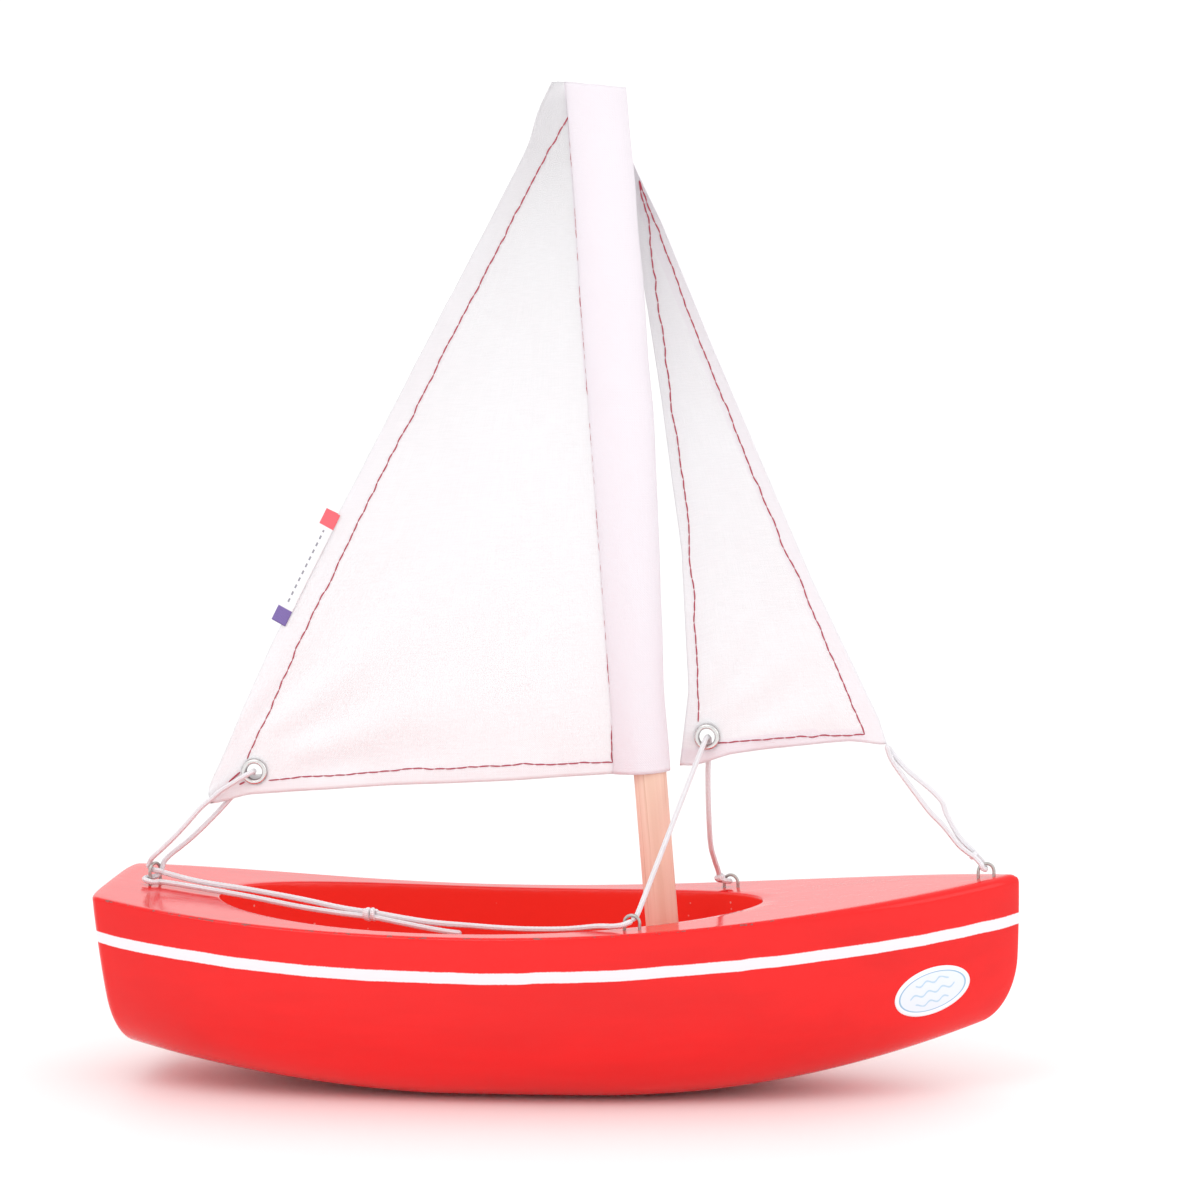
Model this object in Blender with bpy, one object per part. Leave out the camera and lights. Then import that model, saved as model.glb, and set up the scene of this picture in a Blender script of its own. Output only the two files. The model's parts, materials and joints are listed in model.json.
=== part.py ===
"""Toy sailing boat: painted wooden hull, dowel mast, cotton mainsail and jib, wire staples and cords.

The bow points along +X, port is +Y and +Z is up. The origin is at the bottom of the hull.
"""

import math

import bmesh
import bpy
from mathutils import Matrix, Vector

MM = 0.001
GAP = 0.3 * MM

# Hull: ends of the deck, widest half-beam and where it is, and the run of the bottom.
BOW_X = 111.8 * MM
STERN_X = -112.5 * MM
HALF_BEAM = 38.0 * MM
WIDEST_X = -30.0 * MM
STERN_TAPER = 0.36
STERN_CORNER = 3.0 * MM
HALF_LENGTH = 110.0 * MM
DECK_MID_Z = 42.4 * MM
BOTTOM_MID_X = -9.25 * MM
BOTTOM_FLAT_HALF = 19.8 * MM
BOTTOM_RISE_RUN = 97.0 * MM
BOTTOM_RISE_AFT = 12.6 * MM
BOTTOM_RISE_FORE = 15.6 * MM
STEM_ROUND = 10.3 * MM
STEM_ROUND_Z = 33.47 * MM
STEM_SHARE = 0.965
STERN_ROUND = 7.3 * MM
STERN_ROUND_Z = 22.26 * MM
STERN_SHARE = 0.75
STERN_RAKE = 0.114
KEEL_FLAT_HALF = 12.0 * MM
SECTION_POWER = 2.8
SECTION_STEPS = 8

# Cockpit: an oval pocket in the deck.
COCKPIT_AFT_X = -84.4 * MM
COCKPIT_FORE_X = 49.5 * MM
COCKPIT_HALF_WIDTH = 32.2 * MM
COCKPIT_FLOOR_Z = 26.0 * MM
COCKPIT_POWER = 2.28
COCKPIT_SKEW = 0.12
COCKPIT_FILLET = 2.5 * MM

# Mast: its axis passes through MAST_FOOT on the cockpit floor and leans aft.
MAST_FOOT = Vector((26.1, 0.0, 26.0)) * MM
MAST_RAKE = math.radians(4.65)
MAST_RADIUS = 4.0 * MM
MAST_STEP_DEPTH = 14.0 * MM
MAST_TOP = 214.0 * MM
MAST_AXIS = Vector((-math.sin(MAST_RAKE), 0.0, math.cos(MAST_RAKE)))
MAST_AFT = Vector((-math.cos(MAST_RAKE), 0.0, -math.sin(MAST_RAKE)))

# Mainsail: measured up the mast from its foot, and aft from the mast's axis.
CLOTH = 0.8 * MM
SLEEVE_FOOT = 51.3 * MM
SLEEVE_HEAD = 218.0 * MM
SLEEVE_CENTRE = 0.85 * MM
SLEEVE_LONG = 7.15 * MM
SLEEVE_WIDE = 5.1 * MM
SLEEVE_WALL = 0.6 * MM
MAIN_OUTLINE = ((218.0, 7.6), (219.3, 10.3), (212.3, 14.5), (204.9, 17.2), (90.0, 90.0),
                (54.5, 109.6), (50.6, 109.3), (51.0, 106.5), (51.8, 101.6), (52.1, 88.0),
                (51.6, 70.0), (51.4, 32.0), (51.3, 7.6))
MAIN_CLEW = (57.7, 97.6)

# Jib: hinged on the line from the bow lashing to the masthead, and hanging free of it.
JIB_PIVOT = Vector((103.7, 0.0, 55.3)) * MM
JIB_HEAD_POINT = Vector((12.0, 8.2, 236.0)) * MM
JIB_AXIS = (JIB_HEAD_POINT - JIB_PIVOT).normalized()
JIB_AFT = (Vector((0.0, 0.0, -1.0)) + JIB_AXIS * JIB_AXIS.z).normalized()
JIB_OUTLINE = ((202.5, -0.7), (202.5, 2.7), (182.5, 4.9), (171.0, 9.0), (135.9, 20.1),
               (101.1, 32.3), (69.5, 46.8), (57.5, 55.2), (54.3, 56.9), (52.5, 53.8),
               (51.3, 44.8), (48.7, 36.7), (41.4, 16.4), (38.8, 11.7), (36.9, 8.4),
               (43.4, 7.4), (80.7, 6.9), (112.2, 5.1), (143.8, 3.2), (174.9, 0.9), (195.0, 0.2))
JIB_CLEW = (57.6, 47.6)

# Eyelets: a flanged barrel pushed through the cloth and the washer it is set into.
EYELET_HOLE = 1.9 * MM
EYELET_BARREL = 2.2 * MM
EYELET_FLANGE = 3.2 * MM
EYELET_PLATE = 0.4 * MM

# Staples: bent wire arches knocked into the deck. Centre, top and turn of each.
STAPLE_WIRE = 0.4 * MM
STAPLE_ARCH = 1.9 * MM
STAPLE_DEPTH = 6.0 * MM
STAPLES = {
    "stern_eye": ((-101.0, -0.3, 52.8), 60.0),
    "bow_eye": ((103.8, -0.9, 56.4), 8.0),
    "starboard_eye": ((20.48, -29.6, 47.3), -13.0),
    "port_eye": ((40.2, 22.9, 48.4), -22.0),
}

# Ballast: a steel slug in a pocket bored from below, closed by a wooden plug.
BALLAST_X = -24.0 * MM
BALLAST_RADIUS = 11.0 * MM
BALLAST_POCKET = 13.0 * MM
BALLAST_PLUG = 3.0 * MM

# Cords: thickness, and hand-laid routes in millimetres.
CORD_RADIUS = 0.65 * MM
CORD_STEP = 4.0 * MM
CORD_ROUTES = {
    "sheet_run_near": ((-47.6, -13.9, 42.7), (-52.8, -12.6, 43.0), (-63.1, -10.1, 43.9),
                       (-76.1, -7.0, 45.6), (-89.2, -3.8, 47.0), (-98.5, -1.7, 47.9),
                       (-100.7, -2.8, 48.0), (-101.9, -3.3, 48.3), (-103.1, -2.6, 48.6),
                       (-103.2, -1.4, 48.8), (-102.2, -0.7, 48.9), (-101.2, -0.3, 49.0),
                       (-100.2, 0.0, 49.3)),
    "sheet_run_far": ((-47.6, -12.3, 43.4), (-52.8, -11.2, 44.1), (-63.1, -8.8, 45.6),
                      (-76.1, -5.7, 47.1), (-89.2, -2.5, 48.4), (-98.4, -0.6, 50.0),
                      (-99.6, -0.7, 50.5), (-101.0, -0.7, 50.7), (-102.3, -0.4, 51.0)),
    "sheet_tail": ((-42.5, -15.0, 42.3), (-39.0, -16.2, 41.9), (-33.2, -17.6, 41.2),
                   (-26.5, -19.1, 40.4), (-21.8, -20.2, 40.0)),
    "sheet_fore_run": ((-42.3, -13.2, 43.6), (-35.8, -15.4, 43.1), (-29.0, -17.4, 42.6),
                       (-20.6, -19.6, 42.2), (-12.2, -21.8, 41.9), (-3.9, -23.8, 42.0),
                       (4.4, -25.8, 42.6), (12.0, -28.1, 43.9), (15.5, -29.6, 44.3),
                       (17.9, -30.6, 44.7), (19.3, -30.5, 45.1), (20.5, -29.6, 45.5)),
    "clew_sheet": ((-101.9, -1.0, 53.6), (-101.2, -1.6, 54.1), (-98.7, -1.8, 56.4),
                   (-92.0, -1.9, 63.3), (-86.3, -1.7, 69.0), (-81.3, -1.7, 72.7),
                   (-78.9, -2.0, 74.3), (-77.3, -1.95, 75.2), (-76.4, -1.2, 75.7),
                   (-76.1, 0.0, 75.8), (-76.3, 1.2, 75.5), (-77.0, 2.0, 74.6),
                   (-78.2, 2.1, 73.2), (-81.9, 1.7, 69.1),
                   (-87.3, 1.8, 63.5), (-93.8, 1.7, 57.2), (-97.6, 1.5, 54.2),
                   (-98.7, 1.2, 53.0)),
    "jib_sheet": ((21.9, -27.8, 47.6), (25.6, -18.4, 58.0), (30.0, -7.4, 70.4),
                  (33.4, 1.0, 79.8), (34.8, 4.0, 83.6), (35.4, 6.2, 84.9),
                  (35.8, 8.0, 84.0), (35.6, 8.8, 80.5), (35.4, 9.4, 76.0),
                  (35.4, 10.2, 70.0), (35.5, 11.8, 63.5), (35.7, 15.0, 56.7),
                  (36.4, 18.5, 52.4), (37.0, 21.2, 49.6)),
    "forestay_near": ((80.9, 1.9, 80.5), (82.4, 1.8, 78.1), (86.1, 1.4, 73.2),
                      (89.9, 0.9, 68.3), (94.3, 0.5, 63.7), (98.2, 0.0, 59.4)),
    "forestay_far": ((82.2, 2.6, 80.4), (85.0, 2.4, 77.6), (90.0, 1.9, 73.6),
                     (92.9, 1.7, 70.6), (94.1, 1.5, 67.5), (96.9, 1.2, 62.5),
                     (99.3, 0.9, 60.0)),
    "bow_loop": ((101.8, -1.7, 57.1), (102.4, -2.2, 56.3), (103.0, -2.2, 55.1),
                 (103.6, -1.1, 54.6), (103.5, 0.3, 54.9), (102.9, 0.9, 56.0),
                 (102.0, 0.8, 57.1)),
}
KNOTS = {
    "sheet_knot": ((-45.0, -13.7, 43.1), (1.9, 1.7, 1.5)),
    "jib_sheet_knot": ((37.4, 22.5, 47.2), (0.95, 0.95, 1.3)),
    "bow_knot": ((100.7, -0.2, 57.9), (1.2, 1.3, 1.2)),
}

# Woven tag folded over the leech, and the sticker on the bow.
TAG_HEIGHT = (93.6, 119.6)
TAG_INSIDE = 2.0 * MM
TAG_OUTSIDE = 2.4 * MM
TAG_CLOTH = 0.3 * MM
STICKER_CENTRE = (92.0 * MM, 26.8 * MM)
STICKER_HALF = (9.0 * MM, 5.95 * MM)
STICKER_TILT = math.radians(17.4)
STICKER_THICK = 0.25 * MM

COLOURS = {
    "red_paint": ((0.75, 0.025, 0.018), 0.25, 0.0),
    "mast_wood": ((0.74, 0.47, 0.30), 0.6, 0.0),
    "sailcloth": ((0.90, 0.88, 0.91), 0.9, 0.0),
    "eyelet_metal": ((0.72, 0.72, 0.73), 0.3, 1.0),
    "eye_steel": ((0.55, 0.55, 0.56), 0.35, 1.0),
    "cord_cotton": ((0.88, 0.87, 0.90), 0.9, 0.0),
    "ballast_steel": ((0.35, 0.35, 0.37), 0.5, 1.0),
    "tag_ribbon": ((0.92, 0.92, 0.94), 0.7, 0.0),
    "sticker_film": ((0.93, 0.94, 0.96), 0.4, 0.0),
}


def clear_scene():
    for obj in list(bpy.data.objects):
        bpy.data.objects.remove(obj, do_unlink=True)


def material(name):
    existing = bpy.data.materials.get(name)
    if existing:
        return existing
    colour, roughness, metallic = COLOURS[name]
    made = bpy.data.materials.new(name)
    made.use_nodes = True
    shader = made.node_tree.nodes["Principled BSDF"]
    shader.inputs["Base Color"].default_value = (*colour, 1.0)
    shader.inputs["Roughness"].default_value = roughness
    shader.inputs["Metallic"].default_value = metallic
    return made


def add_object(name, bm, material_name, smooth_angle=40.0):
    bmesh.ops.recalc_face_normals(bm, faces=bm.faces)
    mesh = bpy.data.meshes.new(name)
    bm.to_mesh(mesh)
    bm.free()
    mesh.shade_smooth()
    mesh.set_sharp_from_angle(angle=math.radians(smooth_angle))
    obj = bpy.data.objects.new(name, mesh)
    bpy.context.scene.collection.objects.link(obj)
    if material_name:
        mesh.materials.append(material(material_name))
    return obj


def add_cutter(name, bm):
    obj = add_object(name, bm, None)
    obj.hide_render = True
    obj.display_type = "WIRE"
    return obj


def boolean(target, other, operation="DIFFERENCE"):
    step = target.modifiers.new(other.name, "BOOLEAN")
    step.operation = operation
    step.solver = "EXACT"
    step.object = other


def frame_matrix(origin, x_axis, z_axis):
    """A rotation and place whose local X and Z lie along the given directions."""
    x_axis = x_axis.normalized()
    z_axis = z_axis.normalized()
    y_axis = z_axis.cross(x_axis)
    turn = Matrix((x_axis, y_axis, z_axis)).transposed().to_4x4()
    return Matrix.Translation(origin) @ turn


def prism(points, thickness):
    """A flat outline in the local XY plane, extruded both ways along local Z."""
    bm = bmesh.new()
    corners = [bm.verts.new((x, y, -thickness / 2)) for x, y in points]
    face = bm.faces.new(corners)
    lifted = bmesh.ops.extrude_face_region(bm, geom=[face])
    moved = [item for item in lifted["geom"] if isinstance(item, bmesh.types.BMVert)]
    bmesh.ops.translate(bm, verts=moved, vec=(0.0, 0.0, thickness))
    return bm


def cylinder(radius, low, high, segments=24):
    bm = bmesh.new()
    bmesh.ops.create_cone(bm, cap_ends=True, segments=segments, radius1=radius, radius2=radius,
                          depth=high - low)
    bmesh.ops.translate(bm, verts=bm.verts, vec=(0.0, 0.0, (low + high) / 2))
    return bm


def ring(inner, outer, low, high, segments=24):
    """A flat washer about local Z, turned from its four-cornered section."""
    bm = bmesh.new()
    section = [(inner, low), (outer, low), (outer, high), (inner, high)]
    corners = [bm.verts.new((x, 0.0, z)) for x, z in section]
    loop = [bm.edges.new((corners[i], corners[(i + 1) % 4])) for i in range(4)]
    bmesh.ops.spin(bm, geom=corners + loop, cent=(0, 0, 0), axis=(0, 0, 1),
                   angle=math.tau, steps=segments, use_merge=True)
    bmesh.ops.remove_doubles(bm, verts=bm.verts, dist=1e-6)
    return bm


# Hull shape

def deck_z(x):
    s = x / HALF_LENGTH
    return DECK_MID_Z + (3.3 * s + 9.8 * s ** 2 - 0.6 * s ** 3 - 1.5 * s ** 4) * MM


def bottom_z(x):
    run = max(abs(x - BOTTOM_MID_X) - BOTTOM_FLAT_HALF, 0.0) / BOTTOM_RISE_RUN
    if x < BOTTOM_MID_X:
        return BOTTOM_RISE_AFT * run ** 1.54
    return BOTTOM_RISE_FORE * run ** 2.06


def half_beam(x):
    if x > WIDEST_X:
        t = min((x - WIDEST_X) / (BOW_X - WIDEST_X), 1.0)
        return HALF_BEAM * (1.0 - t ** 2.4) ** 0.82
    t = (WIDEST_X - x) / (WIDEST_X - STERN_X)
    corner = min(max((STERN_X + STERN_CORNER - x) / STERN_CORNER, 0.0), 1.0)
    return HALF_BEAM * (1.0 - STERN_TAPER * t ** 3.3) * (1.0 - corner ** 4) ** 0.25


def keel_flat(x):
    """Half-width of the flat along the keel, which narrows with the beam."""
    return KEEL_FLAT_HALF * (half_beam(x) / HALF_BEAM) ** 2


def end_pull(x, z):
    """How far the raked transom and the rounded stem draw a point in from the deck's ends."""
    reach = (x - STERN_X) / (BOW_X - STERN_X)
    keel = bottom_z(x)
    low = STEM_SHARE * min(max((STEM_ROUND_Z - z) / (STEM_ROUND_Z - keel), 0.0), 1.0)
    stem = STEM_ROUND * (1.0 - math.sqrt(1.0 - low ** 2))
    stem += 0.834 * MM * ((z - 45.0 * MM) / (25.0 * MM)) ** 2
    low = STERN_SHARE * min(max((STERN_ROUND_Z - z) / (STERN_ROUND_Z - min(keel, 15.0 * MM)), 0.0), 1.0)
    stern = STERN_ROUND * (1.0 - math.sqrt(1.0 - low ** 2)) + STERN_RAKE * max(46.6 * MM - z, 0.0)
    return stern * (1.0 - reach) ** 3 - stem * reach ** 3


def hull_section(bm, x):
    """One closed cross-section loop, from the port deck edge round the keel to starboard."""
    beam = half_beam(x)
    flat = keel_flat(x)
    top = deck_z(x)
    depth = top - bottom_z(x)
    side = []
    for i in range(SECTION_STEPS + 1):
        a = math.pi / 2 * i / SECTION_STEPS
        y = flat + (beam - flat) * max(math.cos(a), 0.0) ** (2.0 / SECTION_POWER)
        z = top - depth * math.sin(a) ** (2.0 / SECTION_POWER)
        side.append((y, z))
    outline = side + [(-y, z) for y, z in reversed(side)]
    verts = [bm.verts.new((x + end_pull(x, z), y, z)) for y, z in outline]
    count = len(verts)
    return [bm.edges.new((verts[i], verts[(i + 1) % count])) for i in range(count)]


def hull_stations():
    """Stations crowd together towards the rounded ends."""
    stern = [STERN_X + d * MM for d in (0.02, 0.15, 0.5, 1.2, 3.0)]
    middle = [STERN_X + 8.0 * MM + i * (BOW_X - STERN_X - 18.0 * MM) / 23 for i in range(24)]
    bow = [BOW_X - d * MM for d in (7.5, 5.2, 3.2, 1.6, 0.6, 0.1)]
    return stern + middle + bow


def cockpit_half_width(x):
    middle = (COCKPIT_AFT_X + COCKPIT_FORE_X) / 2
    s = (x - middle) / ((COCKPIT_FORE_X - COCKPIT_AFT_X) / 2)
    return COCKPIT_HALF_WIDTH * max(1.0 - abs(s) ** COCKPIT_POWER, 0.0) ** 0.5 * (1.0 - COCKPIT_SKEW * s)


def cockpit_cutter():
    middle = (COCKPIT_AFT_X + COCKPIT_FORE_X) / 2
    half = (COCKPIT_FORE_X - COCKPIT_AFT_X) / 2
    port = []
    for i in range(25):
        x = middle + half * math.cos(math.pi * i / 24)
        port.append((x, cockpit_half_width(x)))
    outline = port + [(x, -y) for x, y in reversed(port[1:-1])]
    bm = bmesh.new()
    face = bm.faces.new([bm.verts.new((x, y, COCKPIT_FLOOR_Z)) for x, y in outline])
    lifted = bmesh.ops.extrude_face_region(bm, geom=[face])
    moved = [item for item in lifted["geom"] if isinstance(item, bmesh.types.BMVert)]
    bmesh.ops.translate(bm, verts=moved, vec=(0.0, 0.0, 40.0 * MM))
    floor_edges = [e for e in bm.edges if all(v.co.z < COCKPIT_FLOOR_Z + 1e-6 for v in e.verts)]
    bmesh.ops.bevel(bm, geom=floor_edges, offset=COCKPIT_FILLET, offset_type="OFFSET", segments=2,
                    profile=0.5, affect="EDGES", material=-1)
    return add_cutter("cockpit_cutter", bm)


def build_hull():
    bm = bmesh.new()
    loops = [hull_section(bm, x) for x in hull_stations()]
    for aft, fore in zip(loops[:-1], loops[1:]):
        bmesh.ops.bridge_loops(bm, edges=aft + fore)
    bmesh.ops.holes_fill(bm, edges=loops[0] + loops[-1], sides=0)
    hull = add_object("hull", bm, "red_paint")
    boolean(hull, cockpit_cutter())
    socket = add_cutter("mast_socket", cylinder(MAST_RADIUS + GAP, -MAST_STEP_DEPTH - GAP, 20.0 * MM))
    socket.matrix_world = frame_matrix(MAST_FOOT, MAST_AFT, MAST_AXIS)
    boolean(hull, socket)
    for name, (centre, turn) in STAPLES.items():
        for side in (-1, 1):
            low = -STAPLE_DEPTH - GAP
            pilot = add_cutter(name + "_pilot", cylinder(STAPLE_WIRE + GAP, low, 5.0 * MM, 12))
            pilot.location = Vector(centre) * MM
            pilot.location.x += side * STAPLE_ARCH * math.cos(math.radians(turn))
            pilot.location.y += side * STAPLE_ARCH * math.sin(math.radians(turn))
            pilot.location.z = deck_z(centre[0] * MM)
            boolean(hull, pilot)
    pocket = add_cutter("ballast_pocket", cylinder(BALLAST_RADIUS + GAP, -5.0 * MM, BALLAST_POCKET, 32))
    pocket.location.x = BALLAST_X
    boolean(hull, pocket)
    return hull


def build_ballast():
    slug = add_object("ballast_slug", cylinder(BALLAST_RADIUS, BALLAST_PLUG + GAP, BALLAST_POCKET - GAP, 32),
                      "ballast_steel")
    slug.location.x = BALLAST_X
    plug = add_object("ballast_plug", cylinder(BALLAST_RADIUS, 0.0, BALLAST_PLUG, 32), "red_paint")
    plug.location.x = BALLAST_X


def build_mast():
    bm = cylinder(MAST_RADIUS, -MAST_STEP_DEPTH, MAST_TOP, 32)
    rims = [e for e in bm.edges if abs(e.verts[0].co.z - e.verts[1].co.z) < 1e-6]
    bmesh.ops.bevel(bm, geom=rims, offset=0.6 * MM, offset_type="OFFSET", segments=2, profile=0.5,
                    affect="EDGES", material=-1)
    mast = add_object("mast", bm, "mast_wood", 60.0)
    mast.matrix_world = frame_matrix(MAST_FOOT, MAST_AFT, MAST_AXIS)


def build_staple(name, centre, turn):
    """Wire bent into an arch whose two straight legs go into the deck."""
    top = Vector(centre) * MM
    middle = top.z - STAPLE_WIRE - STAPLE_ARCH
    bm = bmesh.new()
    circle = bmesh.ops.create_circle(bm, radius=STAPLE_WIRE, segments=8)["verts"]
    bmesh.ops.translate(bm, verts=circle, vec=(STAPLE_ARCH, 0.0, 0.0))
    bmesh.ops.spin(bm, geom=list(bm.verts) + list(bm.edges), cent=(0, 0, 0), axis=(0, 1, 0),
                   angle=-math.pi, steps=12, use_merge=False)
    ends = [e for e in bm.edges if e.is_boundary]
    grown = bmesh.ops.extrude_edge_only(bm, edges=ends)["geom"]
    feet = [item for item in grown if isinstance(item, bmesh.types.BMVert)]
    drop = deck_z(top.x) - STAPLE_DEPTH - middle
    bmesh.ops.translate(bm, verts=feet, vec=(0.0, 0.0, drop))
    bmesh.ops.holes_fill(bm, edges=[e for e in bm.edges if e.is_boundary], sides=0)
    staple = add_object(name, bm, "eye_steel", 60.0)
    staple.location = (top.x, top.y, middle)
    staple.rotation_euler.z = math.radians(turn)


# Sails

def build_mainsail():
    """The cloth lies in local XY, with X aft of the mast's axis and Y down the mast."""
    place = frame_matrix(MAST_FOOT, MAST_AFT, Vector((0.0, -1.0, 0.0)))
    outline = [(aft * MM, height * MM) for height, aft in MAIN_OUTLINE]
    up = place.inverted().to_3x3() @ MAST_AXIS
    sail = add_object("mainsail", prism([(x, y * up.y) for x, y in outline], CLOTH), "sailcloth")
    sail.matrix_world = place
    sleeve = add_cutter("sleeve_outside", cylinder(1.0, SLEEVE_FOOT, SLEEVE_HEAD, 40))
    bore = add_cutter("sleeve_inside", cylinder(1.0, SLEEVE_FOOT - 5.0 * MM, SLEEVE_HEAD + 5.0 * MM, 40))
    for piece, trim in ((sleeve, 0.0), (bore, SLEEVE_WALL)):
        scale = Matrix.Diagonal((SLEEVE_LONG - trim, SLEEVE_WIDE - trim, 1.0, 1.0))
        piece.data.transform(Matrix.Translation((SLEEVE_CENTRE, 0.0, 0.0)) @ scale)
        piece.matrix_world = frame_matrix(MAST_FOOT, MAST_AFT, MAST_AXIS)
    boolean(sail, sleeve, "UNION")
    boolean(sail, bore)
    hole = add_cutter("main_clew_hole", cylinder(EYELET_BARREL + GAP, -3.0 * MM, 3.0 * MM))
    hole.matrix_world = place @ Matrix.Translation((MAIN_CLEW[1] * MM, MAIN_CLEW[0] * MM * up.y, 0.0))
    boolean(sail, hole)
    build_eyelet("main_clew", hole.matrix_world)


def jib_place():
    """Local X runs aft of the hinge line, local Y along it and local Z across the cloth."""
    across = JIB_AFT.cross(JIB_AXIS)
    return frame_matrix(JIB_PIVOT, JIB_AFT, across)


def build_jib():
    place = jib_place()
    outline = [(aft * MM, height * MM) for height, aft in JIB_OUTLINE]
    sail = add_object("jib", prism(outline, CLOTH), "sailcloth")
    sail.matrix_world = place
    hole = add_cutter("jib_clew_hole", cylinder(EYELET_BARREL + GAP, -3.0 * MM, 3.0 * MM))
    hole.matrix_world = place @ Matrix.Translation((JIB_CLEW[1] * MM, JIB_CLEW[0] * MM, 0.0))
    boolean(sail, hole)
    build_eyelet("jib_clew", hole.matrix_world)


def build_eyelet(corner, place):
    """A flanged barrel on one face of the cloth and a washer on the other."""
    face = CLOTH / 2 + GAP
    barrel_end = face + EYELET_PLATE
    bm = ring(EYELET_HOLE, EYELET_FLANGE, face, barrel_end)
    eyelet = add_object(corner + "_eyelet", bm, "eyelet_metal")
    tube = add_cutter(corner + "_barrel", ring(EYELET_HOLE, EYELET_BARREL, -barrel_end, barrel_end - GAP))
    washer = add_object(corner + "_washer", ring(EYELET_BARREL + GAP, EYELET_FLANGE, -barrel_end, -face),
                        "eyelet_metal")
    for piece in (eyelet, tube, washer):
        piece.matrix_world = place
    boolean(eyelet, tube, "UNION")


def build_tag():
    """A ribbon folded round the leech: two flaps joined by a fold behind the cloth's edge."""
    low = TAG_HEIGHT[0] * MM
    high = TAG_HEIGHT[1] * MM
    edge_low = leech_aft(low)
    edge_high = leech_aft(high)
    along = (MAST_AXIS * (high - low) + MAST_AFT * (edge_high - edge_low)).normalized()
    centre = MAST_FOOT + MAST_AXIS * (low + high) / 2 + MAST_AFT * (edge_low + edge_high) / 2
    outward = along.cross(Vector((0.0, 1.0, 0.0)))
    if outward.dot(MAST_AFT) < 0:
        outward = -outward
    inner = CLOTH / 2 + GAP
    outer = inner + TAG_CLOTH
    back = TAG_OUTSIDE - TAG_CLOTH
    section = [(-TAG_INSIDE, inner), (back, inner), (back, -inner), (-TAG_INSIDE, -inner),
               (-TAG_INSIDE, -outer), (TAG_OUTSIDE, -outer), (TAG_OUTSIDE, outer),
               (-TAG_INSIDE, outer)]
    length = (Vector((high, edge_high)) - Vector((low, edge_low))).length
    tag = add_object("leech_tag", prism(section, length), "tag_ribbon")
    tag.matrix_world = frame_matrix(centre, outward, along)


def leech_aft(height):
    """Distance of the straight leech aft of the mast's axis, at a height up the mast."""
    (top, near), (low, far) = [(h * MM, r * MM) for h, r in MAIN_OUTLINE[3:5]]
    return near + (far - near) * (top - height) / (top - low)


def hull_side_y(x, z):
    """Half-breadth of the hull at a height, found from its section curve."""
    top = deck_z(x)
    t = min(max((top - z) / (top - bottom_z(x)), 0.0), 1.0)
    flat = keel_flat(x)
    return flat + (half_beam(x) - flat) * (1.0 - t ** SECTION_POWER) ** (1.0 / SECTION_POWER)


def build_sticker():
    """A thin oval that follows the starboard side of the bow."""
    bm = bmesh.new()
    bmesh.ops.create_circle(bm, cap_ends=True, segments=28, radius=1.0)
    bmesh.ops.inset_region(bm, faces=bm.faces[:], thickness=0.3, use_even_offset=True)
    bmesh.ops.inset_region(bm, faces=[f for f in bm.faces if len(f.verts) > 4], thickness=0.35,
                           use_even_offset=True)
    turn = Matrix.Rotation(STICKER_TILT, 2)
    for vert in bm.verts:
        across, up = turn @ Vector((vert.co.x * STICKER_HALF[0], vert.co.y * STICKER_HALF[1]))
        x = STICKER_CENTRE[0] + across
        z = STICKER_CENTRE[1] + up
        vert.co = (x, -hull_side_y(x, z) - 2.0 * GAP, z)
    lifted = bmesh.ops.extrude_face_region(bm, geom=bm.faces[:])
    moved = [item for item in lifted["geom"] if isinstance(item, bmesh.types.BMVert)]
    bmesh.ops.translate(bm, verts=moved, vec=(0.45 * STICKER_THICK, -0.9 * STICKER_THICK, 0.0))
    add_object("bow_sticker", bm, "sticker_film")


# Cords

def smooth_route(points):
    """Points at an even step along the Catmull-Rom curve through the route."""
    knots = [Vector(p) * MM for p in points]
    ends = [2 * knots[0] - knots[1]] + knots + [2 * knots[-1] - knots[-2]]
    fine = []
    for i in range(1, len(ends) - 2):
        a, b, c, d = ends[i - 1:i + 3]
        for j in range(24):
            t = j / 24
            fine.append(0.5 * (2 * b + (c - a) * t + (2 * a - 5 * b + 4 * c - d) * t ** 2
                               + (3 * b - a - 3 * c + d) * t ** 3))
    fine.append(knots[-1])
    total = sum((q - p).length for p, q in zip(fine[:-1], fine[1:]))
    tight = min((q - p).length for p, q in zip(knots[:-1], knots[1:]))
    pieces = max(round(total / min(CORD_STEP, tight)), 3)
    spaced = [fine[0]]
    walked = 0.0
    for p, q in zip(fine[:-1], fine[1:]):
        span = (q - p).length
        while walked + span >= len(spaced) * total / pieces and len(spaced) < pieces:
            spaced.append(p.lerp(q, (len(spaced) * total / pieces - walked) / span))
        walked += span
    return spaced + [fine[-1]]


def build_cord(name, points):
    route = smooth_route(points)
    curve = bpy.data.curves.new(name, "CURVE")
    curve.dimensions = "3D"
    curve.bevel_depth = CORD_RADIUS
    curve.bevel_resolution = 2
    curve.use_fill_caps = True
    curve.render_resolution_u = 0
    spline = curve.splines.new("POLY")
    spline.points.add(len(route) - 1)
    for point, place in zip(spline.points, route):
        point.co = (*place, 1.0)
    curve.materials.append(material("cord_cotton"))
    cord = bpy.data.objects.new(name, curve)
    bpy.context.scene.collection.objects.link(cord)


def build_knot(name, centre, radii):
    bm = bmesh.new()
    bmesh.ops.create_icosphere(bm, subdivisions=2, radius=1.0)
    bmesh.ops.scale(bm, verts=bm.verts, vec=Vector(radii) * MM)
    knot = add_object(name, bm, "cord_cotton", 80.0)
    knot.location = Vector(centre) * MM


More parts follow.
